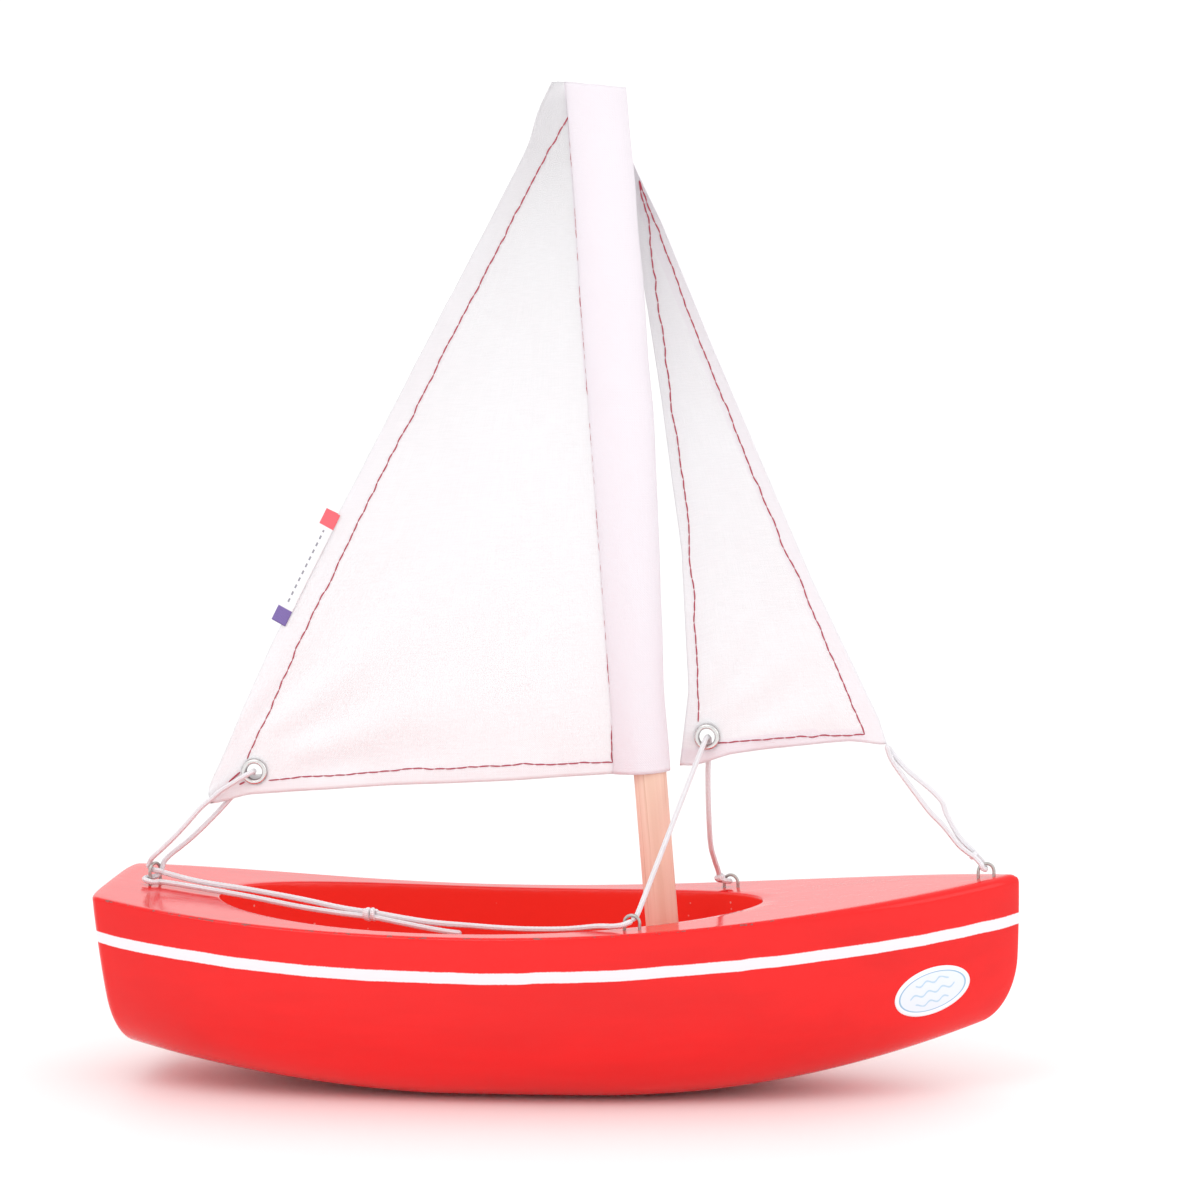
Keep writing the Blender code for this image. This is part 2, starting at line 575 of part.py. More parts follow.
def main():
    clear_scene()
    build_hull()
    build_ballast()
    build_mast()
    for name, (centre, turn) in STAPLES.items():
        build_staple(name, centre, turn)
    build_mainsail()
    build_jib()
    build_tag()
    build_sticker()
    for name, points in CORD_ROUTES.items():
        build_cord(name, points)
    for name, (centre, radii) in KNOTS.items():
        build_knot(name, centre, radii)


main()
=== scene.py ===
import json
import math

import bmesh
import bpy
from mathutils import Matrix, Vector, noise


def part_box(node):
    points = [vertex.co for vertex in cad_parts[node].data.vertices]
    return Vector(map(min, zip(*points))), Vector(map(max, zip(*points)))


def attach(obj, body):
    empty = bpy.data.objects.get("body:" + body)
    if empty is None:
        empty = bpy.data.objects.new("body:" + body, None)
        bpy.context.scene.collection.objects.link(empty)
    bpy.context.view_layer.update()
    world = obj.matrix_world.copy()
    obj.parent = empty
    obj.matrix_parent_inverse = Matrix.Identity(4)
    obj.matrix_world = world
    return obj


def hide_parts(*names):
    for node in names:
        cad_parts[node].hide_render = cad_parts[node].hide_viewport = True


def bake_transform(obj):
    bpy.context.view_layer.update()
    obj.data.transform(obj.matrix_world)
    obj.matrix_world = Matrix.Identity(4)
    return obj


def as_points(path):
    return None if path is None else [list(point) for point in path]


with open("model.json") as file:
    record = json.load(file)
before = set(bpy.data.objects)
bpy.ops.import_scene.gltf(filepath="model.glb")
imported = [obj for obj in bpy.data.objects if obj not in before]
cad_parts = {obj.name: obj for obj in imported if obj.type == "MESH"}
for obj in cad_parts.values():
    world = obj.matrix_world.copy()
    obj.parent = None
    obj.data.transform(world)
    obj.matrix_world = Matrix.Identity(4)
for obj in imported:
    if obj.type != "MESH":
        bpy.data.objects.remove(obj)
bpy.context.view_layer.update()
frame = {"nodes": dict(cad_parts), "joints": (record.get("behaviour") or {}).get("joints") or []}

mm = 0.001
mainJoint, jibJoint = frame["joints"]

# Camera: a long lens, a little above the deck, with the bow turned slightly towards it
camera = {"target": (9.6, 1.0, 118.9), "distance": 1000.0, "azimuth": 6.02, "elevation": 5.95, "lens": 123.3}
studio = {"world": 1.1, "keySize": 0.9, "keyPower": 4.2, "fillPower": 1.6, "floorSize": 6.0}

hull = {"halfBeam": 38.0, "widest": -30.0, "bow": 111.8, "stern": -112.5, "taper": 0.36, "corner": 3.0,
        "deckMid": 42.4, "bottomMid": -9.25, "bottomFlat": 19.8, "riseAft": 12.6, "riseFore": 15.6,
        "riseRun": 97.0, "keelFlat": 12.0, "sectionPower": 2.8, "edgeRound": 0.9, "around": 264}
cockpit = {"aft": -84.4, "fore": 49.5, "halfWidth": 32.2, "floor": 26.0, "power": 2.28, "skew": 0.12,
           "rimRound": 0.6, "floorRound": 2.5}
stripe = {"below": 8.35, "width": 2.7}
mast = {"radius": 4.0, "low": -14.0, "high": 214.0}
mainsail = {"foot": 51.3, "head": 218.2, "cloth": 0.34, "hemLeech": 6.4, "hemFoot": 4.6, "belly": 1.6}
jib = {"cloth": 0.34, "hemLuff": 4.2, "hemLeech": 4.0, "hemFoot": 3.6, "belly": 1.2}
thread = {"radius": 0.18, "stitch": 2.7, "gap": 0.02, "wobble": 0.32}
cord = {"radius": 0.65, "sides": 14, "step": 0.3, "braid": 0.055}
eyelet = {"hole": 1.95, "flange": 3.2, "height": 0.62}
staple = {"wire": 0.4, "arch": 1.9}
tag = {"low": 93.6, "high": 119.6, "width": 3.6}
sticker = {"centre": (92.0, 26.8), "half": (9.0, 5.95), "tilt": math.radians(17.4)}


# Small helpers shared by every piece

def addObject(name, bm, material, smooth=True):
    mesh = bpy.data.meshes.new(name)
    bm.to_mesh(mesh)
    bm.free()
    if smooth:
        mesh.shade_smooth()
    obj = bpy.data.objects.new(name, mesh)
    bpy.context.scene.collection.objects.link(obj)
    mesh.materials.append(material)
    return obj


def wrappedGrid(columns, rows, place, closedSeam=True, uvScale=None):
    # A grid whose every vertex is sent to place(u, v); uvScale gives UVs in millimetres
    bm = bmesh.new()
    uvLayer = bm.loops.layers.uv.new("UVMap")
    bmesh.ops.create_grid(bm, x_segments=columns, y_segments=rows, size=1.0, calc_uvs=True)
    where = {v: ((v.co.x + 1.0) / 2.0, (v.co.y + 1.0) / 2.0) for v in bm.verts}
    for face in bm.faces:
        for loop in face.loops:
            u, v = where[loop.vert]
            loop[uvLayer].uv = uvScale(u, v) if uvScale else (u, v)
    for vert, (u, v) in where.items():
        vert.co = place(u, v)
    if closedSeam:
        bmesh.ops.remove_doubles(bm, verts=bm.verts, dist=1e-7)
    return bm


def outwards(bm):
    bmesh.ops.recalc_face_normals(bm, faces=bm.faces)
    return bm


def solidified(obj, thickness, offset=0.0):
    step = obj.modifiers.new("thickness", "SOLIDIFY")
    step.thickness = thickness * mm
    step.offset = offset
    step.use_even_offset = True
    return obj


def cutBy(obj, bm):
    # Takes a closed cutter out of a piece, and leaves the result as plain mesh
    outwards(bm)
    mesh = bpy.data.meshes.new("cutter")
    bm.to_mesh(mesh)
    bm.free()
    cutter = bpy.data.objects.new("cutter", mesh)
    bpy.context.scene.collection.objects.link(cutter)
    step = obj.modifiers.new("cut", "BOOLEAN")
    step.object = cutter
    step.solver = "EXACT"
    graph = bpy.context.evaluated_depsgraph_get()
    made = bpy.data.meshes.new_from_object(obj.evaluated_get(graph))
    obj.modifiers.clear()
    old = obj.data
    obj.data = made
    bpy.data.meshes.remove(old)
    bpy.data.objects.remove(cutter)
    return obj


def cone(radius, low, high, segments=64):
    bm = bmesh.new()
    bmesh.ops.create_cone(bm, cap_ends=True, segments=segments, radius1=radius * mm, radius2=radius * mm,
                          depth=(high - low) * mm)
    bmesh.ops.translate(bm, verts=bm.verts, vec=(0, 0, (low + high) / 2 * mm))
    return bm


def clamp(value, low=0.0, high=1.0):
    return min(max(value, low), high)


def ease(value):
    value = clamp(value)
    return value * value * (3.0 - 2.0 * value)


# Material helpers

def newMaterial(name, **values):
    material = bpy.data.materials.new(name)
    material.use_nodes = True
    shader = material.node_tree.nodes["Principled BSDF"]
    for socket, value in values.items():
        shader.inputs[socket.replace("_", " ")].default_value = value
    return material


def addNode(material, kind, inputs=None, **settings):
    node = material.node_tree.nodes.new("ShaderNode" + kind)
    for key, value in settings.items():
        setattr(node, key, value)
    for key, value in (inputs or {}).items():
        if isinstance(value, bpy.types.NodeSocket):
            material.node_tree.links.new(value, node.inputs[key])
        else:
            node.inputs[key].default_value = value
    return node


def toShader(material, socket, value):
    material.node_tree.links.new(value, material.node_tree.nodes["Principled BSDF"].inputs[socket])


def maths(material, operation, a, b=0.0, c=None):
    inputs = {0: a, 1: b}
    if c is not None:
        inputs[2] = c
    return addNode(material, "Math", inputs, operation=operation).outputs[0]


def mixColour(material, factor, a, b, blend="MIX"):
    return addNode(material, "Mix", {0: factor, 6: a, 7: b}, data_type="RGBA", blend_type=blend).outputs[2]


def ramp(material, value, low, high, a=0.0, b=1.0):
    node = addNode(material, "MapRange", {"Value": value, "From Min": low, "From Max": high, "To Min": a,
                                          "To Max": b}, interpolation_type="SMOOTHSTEP")
    return node.outputs[0]


def objectPoints(material, scale=(1, 1, 1), rotation=(0, 0, 0)):
    coords = addNode(material, "TexCoord").outputs["Object"]
    return addNode(material, "Mapping", {"Vector": coords, "Scale": scale, "Rotation": rotation}).outputs[0]


def grain(material, vector, scale, detail=3.0, roughness=0.5, distortion=0.0):
    node = addNode(material, "TexNoise", {"Vector": vector, "Scale": scale, "Detail": detail,
                                          "Roughness": roughness, "Distortion": distortion})
    return node.outputs["Fac"]


def bumpFrom(material, height, distance, strength=1.0, normal=None):
    inputs = {"Height": height, "Distance": distance, "Strength": strength}
    if normal is not None:
        inputs["Normal"] = normal
    return addNode(material, "Bump", inputs).outputs[0]


def attribute(material, name):
    return addNode(material, "Attribute", attribute_name=name, attribute_type="GEOMETRY").outputs["Fac"]


# Hull

def deckZ(x):
    s = x / 110.0
    return hull["deckMid"] + 3.3 * s + 9.8 * s ** 2 - 0.6 * s ** 3 - 1.5 * s ** 4


def bottomZ(x):
    run = max(abs(x - hull["bottomMid"]) - hull["bottomFlat"], 0.0) / hull["riseRun"]
    if x < hull["bottomMid"]:
        return hull["riseAft"] * run ** 1.54
    return hull["riseFore"] * run ** 2.06


def halfBeam(x):
    if x > hull["widest"]:
        t = clamp((x - hull["widest"]) / (hull["bow"] - hull["widest"]))
        return hull["halfBeam"] * (1.0 - t ** 2.4) ** 0.82
    t = (hull["widest"] - x) / (hull["widest"] - hull["stern"])
    corner = clamp((hull["stern"] + hull["corner"] - x) / hull["corner"])
    return hull["halfBeam"] * (1.0 - hull["taper"] * t ** 3.3) * (1.0 - corner ** 4) ** 0.25


def keelFlat(x):
    return hull["keelFlat"] * (halfBeam(x) / hull["halfBeam"]) ** 2


def endPull(x, z):
    reach = (x - hull["stern"]) / (hull["bow"] - hull["stern"])
    keel = bottomZ(x)
    low = 0.965 * clamp((33.47 - z) / (33.47 - keel))
    stem = 10.3 * (1.0 - math.sqrt(1.0 - low ** 2)) + 0.834 * ((z - 45.0) / 25.0) ** 2
    low = 0.75 * clamp((22.26 - z) / (22.26 - min(keel, 15.0)))
    stern = 7.3 * (1.0 - math.sqrt(1.0 - low ** 2)) + 0.114 * max(46.6 - z, 0.0)
    return stern * (1.0 - reach) ** 3 - stem * reach ** 3


def edgeRound(x):
    return hull["edgeRound"] + 1.3 * ease((x - 40.0) / 60.0)


def cockpitHalf(x):
    s = (2 * x - cockpit["aft"] - cockpit["fore"]) / (cockpit["fore"] - cockpit["aft"])
    shape = max(1.0 - abs(s) ** cockpit["power"], 0.0) ** 0.5
    return cockpit["halfWidth"] * shape * (1.0 - cockpit["skew"] * s)


def planPoint(turn, aft, fore, half):
    x = (aft + fore) / 2 + (fore - aft) / 2 * math.cos(turn)
    side = 1.0 if math.sin(turn) >= 0 else -1.0
    return Vector((x, side * half(x) if abs(math.sin(turn)) > 1e-9 else 0.0))


def insetPoint(turn, aft, fore, half, inset):
    # A point of a plan outline, moved in along the outline's own normal
    here = planPoint(turn, aft, fore, half)
    run = planPoint(turn + 0.004, aft, fore, half) - planPoint(turn - 0.004, aft, fore, half)
    if run.length < 1e-9:
        return here
    run.normalize()
    moved = here + Vector((-run.y, run.x)) * inset
    # At the bow both sides meet in one apex instead of crossing the middle
    if aft < -100.0 and here.x > 0.0 and moved.y * here.y <= 0.0:
        moved = Vector((min(moved.x, fore - 1.5 * inset), 0.0))
    return moved


def hullRows():
    # The hull's profile, from the middle of the cockpit floor out, over and down to the keel
    rows = [("floor", i / 5) for i in range(5)]
    rows += [("floorRound", i / 5) for i in range(6)]
    rows += [("wall", i / 5) for i in range(1, 6)]
    rows += [("rim", i / 4) for i in range(1, 5)]
    rows += [("deck", i / 14) for i in range(1, 15)]
    rows += [("edge", i / 5) for i in range(1, 6)]
    rows += [("side", i / 34) for i in range(1, 35)]
    rows += [("keel", i / 4) for i in range(1, 5)]
    return rows


def hullPoint(turn, kind, t):
    # A point on the hull in millimetres, and how far it lies below the sheer
    c = cockpit
    inner = (c["aft"], c["fore"], cockpitHalf)
    outer = (hull["stern"], hull["bow"], halfBeam)
    edge = edgeRound(planPoint(turn, *outer).x)
    if kind == "floor":
        p = insetPoint(turn, *inner, c["floorRound"])
        mid = planPoint(turn, *inner).x
        flat = Vector((mid + (p.x - mid) * t, p.y * t))
        return Vector((flat.x, flat.y, c["floor"])), 0.0
    if kind == "floorRound":
        a = math.pi / 2 * t
        p = insetPoint(turn, *inner, c["floorRound"] * (1.0 - math.sin(a)))
        return Vector((p.x, p.y, c["floor"] + c["floorRound"] * (1.0 - math.cos(a)))), 0.0
    if kind == "wall":
        p = planPoint(turn, *inner)
        low = c["floor"] + c["floorRound"]
        high = deckZ(p.x) - c["rimRound"]
        return Vector((p.x, p.y, low + (high - low) * t)), 0.0
    if kind == "rim":
        a = math.pi / 2 * t
        p = insetPoint(turn, *inner, -c["rimRound"] * (1.0 - math.cos(a)))
        return Vector((p.x, p.y, deckZ(p.x) - c["rimRound"] * (1.0 - math.sin(a)))), 0.0
    if kind == "deck":
        p = insetPoint(turn, *inner, -c["rimRound"]).lerp(insetPoint(turn, *outer, edge), t)
        return Vector((p.x, p.y, deckZ(p.x))), 0.0
    if kind == "edge":
        a = math.pi / 2 * t
        p = insetPoint(turn, *outer, edge * (1.0 - math.sin(a)))
        drop = edge * (1.0 - math.cos(a))
        z = deckZ(p.x) - drop
        return Vector((p.x + endPull(p.x, z), p.y, z)), drop
    p = planPoint(turn, *outer)
    side = 1.0 if p.y >= 0 else -1.0
    top = deckZ(p.x)
    depth = top - bottomZ(p.x)
    flat = keelFlat(p.x)
    power = hull["sectionPower"]
    if kind == "side":
        first = math.asin(clamp(edge / depth) ** (power / 2))
        drop = math.sin(first + (math.pi / 2 - first) * t) ** (2.0 / power)
        y = flat + (abs(p.y) - flat) * max(1.0 - drop ** power, 0.0) ** (1.0 / power)
    else:
        drop = 1.0
        y = flat * (1.0 - t)
    z = top - depth * drop
    return Vector((p.x + endPull(p.x, z), side * max(y, 0.0), z)), depth * drop


def buildHull(material):
    rows = hullRows()
    around = hull["around"]

    def place(u, v):
        kind, t = rows[round(v * (len(rows) - 1))]
        turn = math.tau * u
        return hullPoint(turn, kind, t)[0] * mm

    bm = outwards(wrappedGrid(around, len(rows) - 1, place))
    dropLayer = bm.verts.layers.float.new("sheerDrop")
    edgeLayer = bm.verts.layers.float.new("deckEdge")
    insideLayer = bm.verts.layers.float.new("cockpitWall")
    for vert in bm.verts:
        x, y, z = vert.co / mm
        below = deckZ(x) - z
        inside = abs(y) < cockpitHalf(clamp(x, cockpit["aft"], cockpit["fore"])) + 0.7 and z > 25.9
        inside = inside and cockpit["aft"] - 1 < x < cockpit["fore"] + 1
        vert[dropLayer] = 0.0 if inside else below - 1.3 * ease((x - 25.0) / 85.0)
        reach = halfBeam(clamp(x, hull["stern"], hull["bow"])) - abs(y)
        vert[edgeLayer] = 0.0 if inside else clamp(1.0 - max(below, reach * 0.8) / 2.4)
        vert[insideLayer] = 1.0 if inside and below > 0.3 else 0.0
    obj = addObject("hullBody", bm, material)
    socket = cone(mast["radius"] + 0.06, mast["low"] - 0.3, 20.0)
    bmesh.ops.transform(socket, matrix=mastPlace(), verts=socket.verts)
    cutBy(obj, socket)
    low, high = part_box("ballast_plug")
    pocket = cone((high.x - low.x) / 2 / mm + 0.12, -5.0, high.z / mm + 0.3, 96)
    bmesh.ops.translate(pocket, verts=pocket.verts, vec=((low.x + high.x) / 2, 0, 0))
    cutBy(obj, pocket)
    obj.data.shade_smooth()
    obj.data.set_sharp_from_angle(angle=math.radians(50))
    return obj


def sideY(x, z):
    # Half-breadth of the hull at a height
    top = deckZ(x)
    t = clamp((top - z) / (top - bottomZ(x)))
    flat = keelFlat(x)
    power = hull["sectionPower"]
    return flat + (halfBeam(x) - flat) * (1.0 - t ** power) ** (1.0 / power)


def lacquer():
    material = newMaterial("redLacquer", Roughness=0.15, IOR=1.45)
    points = objectPoints(material)
    drop = attribute(material, "sheerDrop")
    wander = grain(material, objectPoints(material, (90, 90, 20)), 1.0, 2.0)
    ragged = maths(material, "MULTIPLY_ADD", wander, 0.7, -0.35)
    fine = grain(material, points, 2600.0, 2.0)
    ragged = maths(material, "ADD", ragged, maths(material, "MULTIPLY_ADD", fine, 0.24, -0.12))
    line = maths(material, "ADD", drop, ragged)
    low = stripe["below"]
    high = low + stripe["width"]
    into = ramp(material, line, low - 0.12, low + 0.12)
    out = ramp(material, line, high - 0.12, high + 0.12, 1.0, 0.0)
    band = maths(material, "MULTIPLY", into, out)
    tone = grain(material, objectPoints(material, (12, 60, 60)), 1.0, 4.0, 0.55)
    red = mixColour(material, ramp(material, tone, 0.3, 0.7),
                    (0.84, 0.002, 0.002, 1), (0.75, 0.001, 0.001, 1))
    # Painted reflection: the cockpit's wall and floor are painted a lighter, pinker red, standing in for
    # white light reflected inside the cockpit
    red = mixColour(material, attribute(material, "cockpitWall"), red, (0.88, 0.040, 0.028, 1))
    white = (0.86, 0.80, 0.83, 1)
    painted = mixColour(material, band, red, white)
    # Rubbed deck edge: paint gone in small chips down to the wood
    rubbed = grain(material, objectPoints(material, (60, 60, 160)), 8.0, 6.0, 0.62)
    rubbedEdge = maths(material, "MULTIPLY", rubbed, attribute(material, "deckEdge"))
    chip = ramp(material, rubbedEdge, 0.48, 0.51)
    worn = mixColour(material, chip, painted, (0.34, 0.09, 0.08, 1))
    speckCells = addNode(material, "TexVoronoi", {"Vector": points, "Scale": 260.0, "Randomness": 1.0})
    specks = ramp(material, speckCells.outputs["Distance"], 0.10, 0.05)
    specks = maths(material, "MULTIPLY", specks, ramp(material, speckCells.outputs["Color"], 0.55, 0.6))
    specks = maths(material, "MULTIPLY", specks, attribute(material, "cockpitWall"))
    dusty = mixColour(material, maths(material, "MULTIPLY", specks, 0.6), worn, (0.9, 0.55, 0.5, 1))
    toShader(material, "Base Color", dusty)
    rough = maths(material, "MULTIPLY_ADD", tone, 0.10, 0.06)
    rough = maths(material, "ADD", rough, maths(material, "MULTIPLY", chip, 0.4))
    toShader(material, "Roughness", rough)
    # Orange peel over faint long grain, the stripe's own thickness and the chips' depth
    peel = grain(material, points, 420.0, 2.0)
    woodGrain = grain(material, objectPoints(material, (18, 420, 420)), 1.0, 5.0, 0.6)
    normal = bumpFrom(material, woodGrain, 0.00004)
    normal = bumpFrom(material, peel, 0.00003, normal=normal)
    normal = bumpFrom(material, band, 0.00006, normal=normal)
    normal = bumpFrom(material, chip, -0.00010, normal=normal)
    toShader(material, "Normal", normal)
    return material


# Mast

def mastAxes():
    up = Vector(mainJoint["axis"]).normalized()
    foot = Vector(mainJoint["pos_m"])
    aft = Vector((-up.z, 0.0, up.x))
    return foot, up, aft


def mastPlace():
    foot, up, aft = mastAxes()
    across = up.cross(aft)
    turn = Matrix((aft, across, up)).transposed().to_4x4()
    return Matrix.Translation(foot) @ turn


def buildMast(material):
    bm = cone(mast["radius"], mast["low"], mast["high"], 72)
    rims = [e for e in bm.edges if abs(e.verts[0].co.z - e.verts[1].co.z) < 1e-7]
    bmesh.ops.bevel(bm, geom=rims, offset=0.6 * mm, offset_type="OFFSET", segments=4, profile=0.5,
                    affect="EDGES", material=-1)
    bmesh.ops.transform(bm, matrix=mastPlace(), verts=bm.verts)
    obj = addObject("mastDowel", bm, material)
    obj.data.set_sharp_from_angle(angle=math.radians(60))
    return obj


def bareWood():
    material = newMaterial("bareWood", Roughness=0.62, Specular_IOR_Level=0.35)
    up = mastAxes()[1]
    lean = math.atan2(up.x, up.z)
    straight = objectPoints(material, (1, 1, 1), (0, -lean, 0))
    stretched = addNode(material, "Mapping", {"Vector": straight, "Scale": (900, 900, 16)}).outputs[0]
    rings = addNode(material, "Mapping", {"Vector": straight, "Scale": (300, 300, 7)}).outputs[0]
    streak = grain(material, stretched, 1.0, 4.0, 0.6)
    figure = grain(material, rings, 1.0, 3.0, 0.55, 0.8)
    pale = mixColour(material, ramp(material, figure, 0.32, 0.68),
                     (0.89, 0.66, 0.54, 1), (0.79, 0.54, 0.42, 1))
    flecks = ramp(material, streak, 0.56, 0.72)
    toned = mixColour(material, maths(material, "MULTIPLY", flecks, 0.5), pale, (0.60, 0.34, 0.22, 1))
    toShader(material, "Base Color", toned)
    toShader(material, "Roughness", maths(material, "MULTIPLY_ADD", streak, 0.2, 0.5))
    toShader(material, "Normal", bumpFrom(material, streak, 0.00012))
    return material


# Mainsail: measured up the mast from its foot, and aft of the mast's axis

leechLine = ((50.6, 109.3), (54.5, 109.8), (90.0, 90.0), (204.9, 17.2), (212.3, 14.5), (219.5, 10.1))
seamLine = ((51.0, 8.9), (65.7, 8.1), (113.5, 7.8), (166.9, 7.5), (191.0, 7.0), (219.5, 6.9))


def alongLine(line, height):
    for (h0, r0), (h1, r1) in zip(line[:-1], line[1:]):
        if height <= h1:
            break
    return r0 + (r1 - r0) * (height - h0) / (h1 - h0)


def leechAft(height):
    return sum(alongLine(leechLine, height + d) for d in (-2.0, -1.0, 0.0, 1.0, 2.0)) / 5


def seamAt(height):
    return alongLine(seamLine, height)


def footAt(r):
    return mainsail["foot"] + 0.8 * ease((r - 30.0) / 45.0) - 1.6 * ease((r - 98.0) / 11.0)


def sleeveFront(height):
    return -4.75 - 2.9 * ease((height - 52.0) / 95.0) + 0.4 * ease((height - 190.0) / 30.0)


def rippled(h, r, seed):
    # Slow, soft ripples of thin cloth, in millimetres
    slow = noise.noise(Vector((h / 34.0, r / 21.0, seed)))
    quick = noise.noise(Vector((h / 13.0, r / 8.0, seed + 7.0)))
    return 0.75 * slow + 0.22 * quick


def mainSag(h, r):
    # How far the mainsail's cloth stands off its own plane, towards port
    seam = seamAt(h)
    u = clamp((r - seam) / max(leechAft(h) - seam, 1.0))
    v = clamp((h - mainsail["foot"]) / (mainsail["head"] - mainsail["foot"]))
    free = math.sin(math.pi * u) ** 0.8 * math.sin(math.pi * clamp(v, 0.02, 0.98)) ** 0.6
    belly = mainsail["belly"] * free
    clew = Vector((h - 57.7, r - 97.6)).length
    held = ease((clew - 4.0) / 26.0) * ease(u * 5.0)
    # Creases that run up from the clew towards the head, and puckers along the foot
    angle = math.atan2(h - 55.0, 112.0 - r)
    crease = 0.35 * math.sin(angle * 19.0) * ease((clew - 6.0) / 12.0) * (1.0 - ease((clew - 20.0) / 60.0))
    pucker = 0.16 * math.sin(r / 3.1 + 1.3 * math.sin(r / 17.0))
    pucker = pucker * (1.0 - ease((h - 52.0) / 9.0)) * ease(u * 9.0)
    edge = 0.30 * math.sin(h / 9.5 + 0.7 * math.sin(h / 23.0))
    edge = edge * ease((u - 0.86) / 0.14) * ease((clew - 8.0) / 20.0)
    return belly + held * rippled(h, r, 3.0) + crease + pucker + edge


def mainPoint(h, r, y=0.0):
    foot, up, aft = mastAxes()
    return foot + up * (h * mm) + aft * (r * mm) + Vector((0.0, y * mm, 0.0))


def sleevePoint(h, turn):
    # Cross-section of the sleeve: a flattened loop from the seam, round the mast and back
    seam = seamAt(h)
    front = sleeveFront(h) + 0.30 * noise.noise(Vector((h / 16.0, 2.0, 5.0)))
    middle = (seam + front) / 2
    reach = (seam - front) / 2
    width = 4.62 - 0.22 * ease((h - 60.0) / 40.0) + 0.25 * ease((h - 205.0) / 12.0)
    c = math.cos(turn)
    s = math.sin(turn)
    full = (1.0 - 0.30 * c) * (1.0 - 0.22 * c * c)
    fold = 0.28 * noise.noise(Vector((h / 18.0, math.cos(turn) * 1.3, math.sin(turn) * 1.3 + 9.0)))
    fold += 0.10 * noise.noise(Vector((h / 6.0, math.cos(turn) * 2.4, math.sin(turn) * 2.4)))
    lift = 1.0 + fold * 0.22 * abs(s)
    mouth = ease((h - 212.0) / 6.0) * 0.5
    y = width * s * full * lift * (1.0 + 0.10 * mouth)
    r = middle + reach * c + fold * 0.3 * abs(s)
    # The loop never comes nearer the mast's axis than the dowel and the cloth
    flat = Vector((r, y))
    least = mast["radius"] + 0.22
    if flat.length < least:
        flat = flat.normalized() * least
    return flat.x, flat.y


def buildMainsail(material):
    # One sheet: a flap, once round the mast, and aft from the seam to the leech
    s = mainsail
    flap = 2.2
    flapColumns, loopColumns, sailColumns, rows = 3, 52, 118, 172
    columns = flapColumns + loopColumns + sailColumns
    half = s["cloth"] / 2 + 0.04

    def column(u):
        return round(u * columns)

    def heightAt(v, r):
        low = footAt(r)
        high = s["head"] + 0.16 * (min(r, 11.0) - 0.9) + 0.25 * noise.noise(Vector((r / 4.0, 1.0, 1.0)))
        return low + (high - low) * v

    def place(u, v):
        i = column(u)
        if i < flapColumns:
            share = flap * (1.0 - i / flapColumns)
            h = heightAt(v, 8.0 + share)
            r = seamAt(h) + share
            return mainPoint(h, r, mainSag(h, r) + half * 2 + 0.05)
        if i <= flapColumns + loopColumns:
            turn = math.tau * (i - flapColumns) / loopColumns
            h = heightAt(v, 8.0 * math.cos(turn))
            r, y = sleevePoint(h, turn)
            close = ease((math.cos(turn) - 0.86) / 0.14)
            across = y + half * close * (2 if turn < math.pi else 0) + mainSag(h, seamAt(h)) * close
            return mainPoint(h, r, across)
        across = (i - flapColumns - loopColumns) / sailColumns
        h = heightAt(v, 8.0 + 100.0 * across * (1.0 - v))
        r = seamAt(h) + (leechAft(h) - seamAt(h)) * across
        h = heightAt(v, r)
        return mainPoint(h, r, mainSag(h, r))

    def clothUv(u, v):
        return u * 145.0, v * 167.0

    bm = wrappedGrid(columns, rows, place, closedSeam=False, uvScale=clothUv)
    flatArea = sum(f.calc_area() for f in bm.faces)
    pierce(bm, eyeletCentre("main_clew_eyelet"))
    foot, up, aft = mastAxes()
    # Painted shade mask: how much darker the cloth is painted where it lies doubled
    doubled = bm.verts.layers.float.new("doubled")
    for vert in bm.verts:
        h, r = (vert.co - foot).dot(up) / mm, (vert.co - foot).dot(aft) / mm
        hemmed = leechAft(h) - r < s["hemLeech"] + 0.4 or h - footAt(r) < s["hemFoot"] - 0.6
        vert[doubled] = 1.0 if r < seamAt(h) + 0.4 else 0.15 if hemmed else 0.0
    outwards(bm)
    obj = addObject("mainsailCloth", bm, material)
    solidified(obj, s["cloth"])
    return obj, flatArea


def pierce(bm, centre):
    # Opens the cloth under an eyelet's flange
    near = [f for f in bm.faces if (f.calc_center_median() - centre).length < 2.45 * mm]
    bmesh.ops.delete(bm, geom=near, context="FACES")


def eyeletCentre(node):
    washer = node.replace("eyelet", "washer")
    a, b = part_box(node)
    c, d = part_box(washer)
    return (Vector((min(a.x, c.x), min(a.y, c.y), min(a.z, c.z)))
            + Vector((max(b.x, d.x), max(b.y, d.y), max(b.z, d.z)))) / 2


def hemBand(name, columns, rows, surface, material, lift):
    # A folded-back strip of the same cloth, lying on the sail's far face
    def place(u, v):
        h, r = surface(u, v)
        return mainPoint(h, r, mainSag(h, r) + lift)
    bm = outwards(wrappedGrid(columns, rows, place, closedSeam=False,
                              uvScale=lambda u, v: (u * 6.0, v * 170.0)))
    return solidified(addObject(name, bm, material), mainsail["cloth"] * 0.9)


def buildMainHems(material):
    s = mainsail
    lift = s["cloth"] + 0.02

    def leech(u, v):
        h = footAt(108.0) + 0.3 + (s["head"] - 3.6 - footAt(108.0)) * v
        edge = leechAft(h)
        wide = min(s["hemLeech"], (edge - seamAt(h)) * 0.85)
        r = edge - 0.25 - wide * u
        return max(h, footAt(r) + 0.2), r

    def foot(u, v):
        r = seamAt(52.0) + 1.0 + (leechAft(54.0) - s["hemLeech"] - seamAt(52.0) - 1.5) * v
        return footAt(r) + 0.2 + s["hemFoot"] * u, r

    return [hemBand("mainLeechHem", 8, 180, leech, material, lift),
            hemBand("mainFootHem", 6, 110, foot, material, lift)]


# Jib: measured along its hinge line from the bow eye, and aft of that line

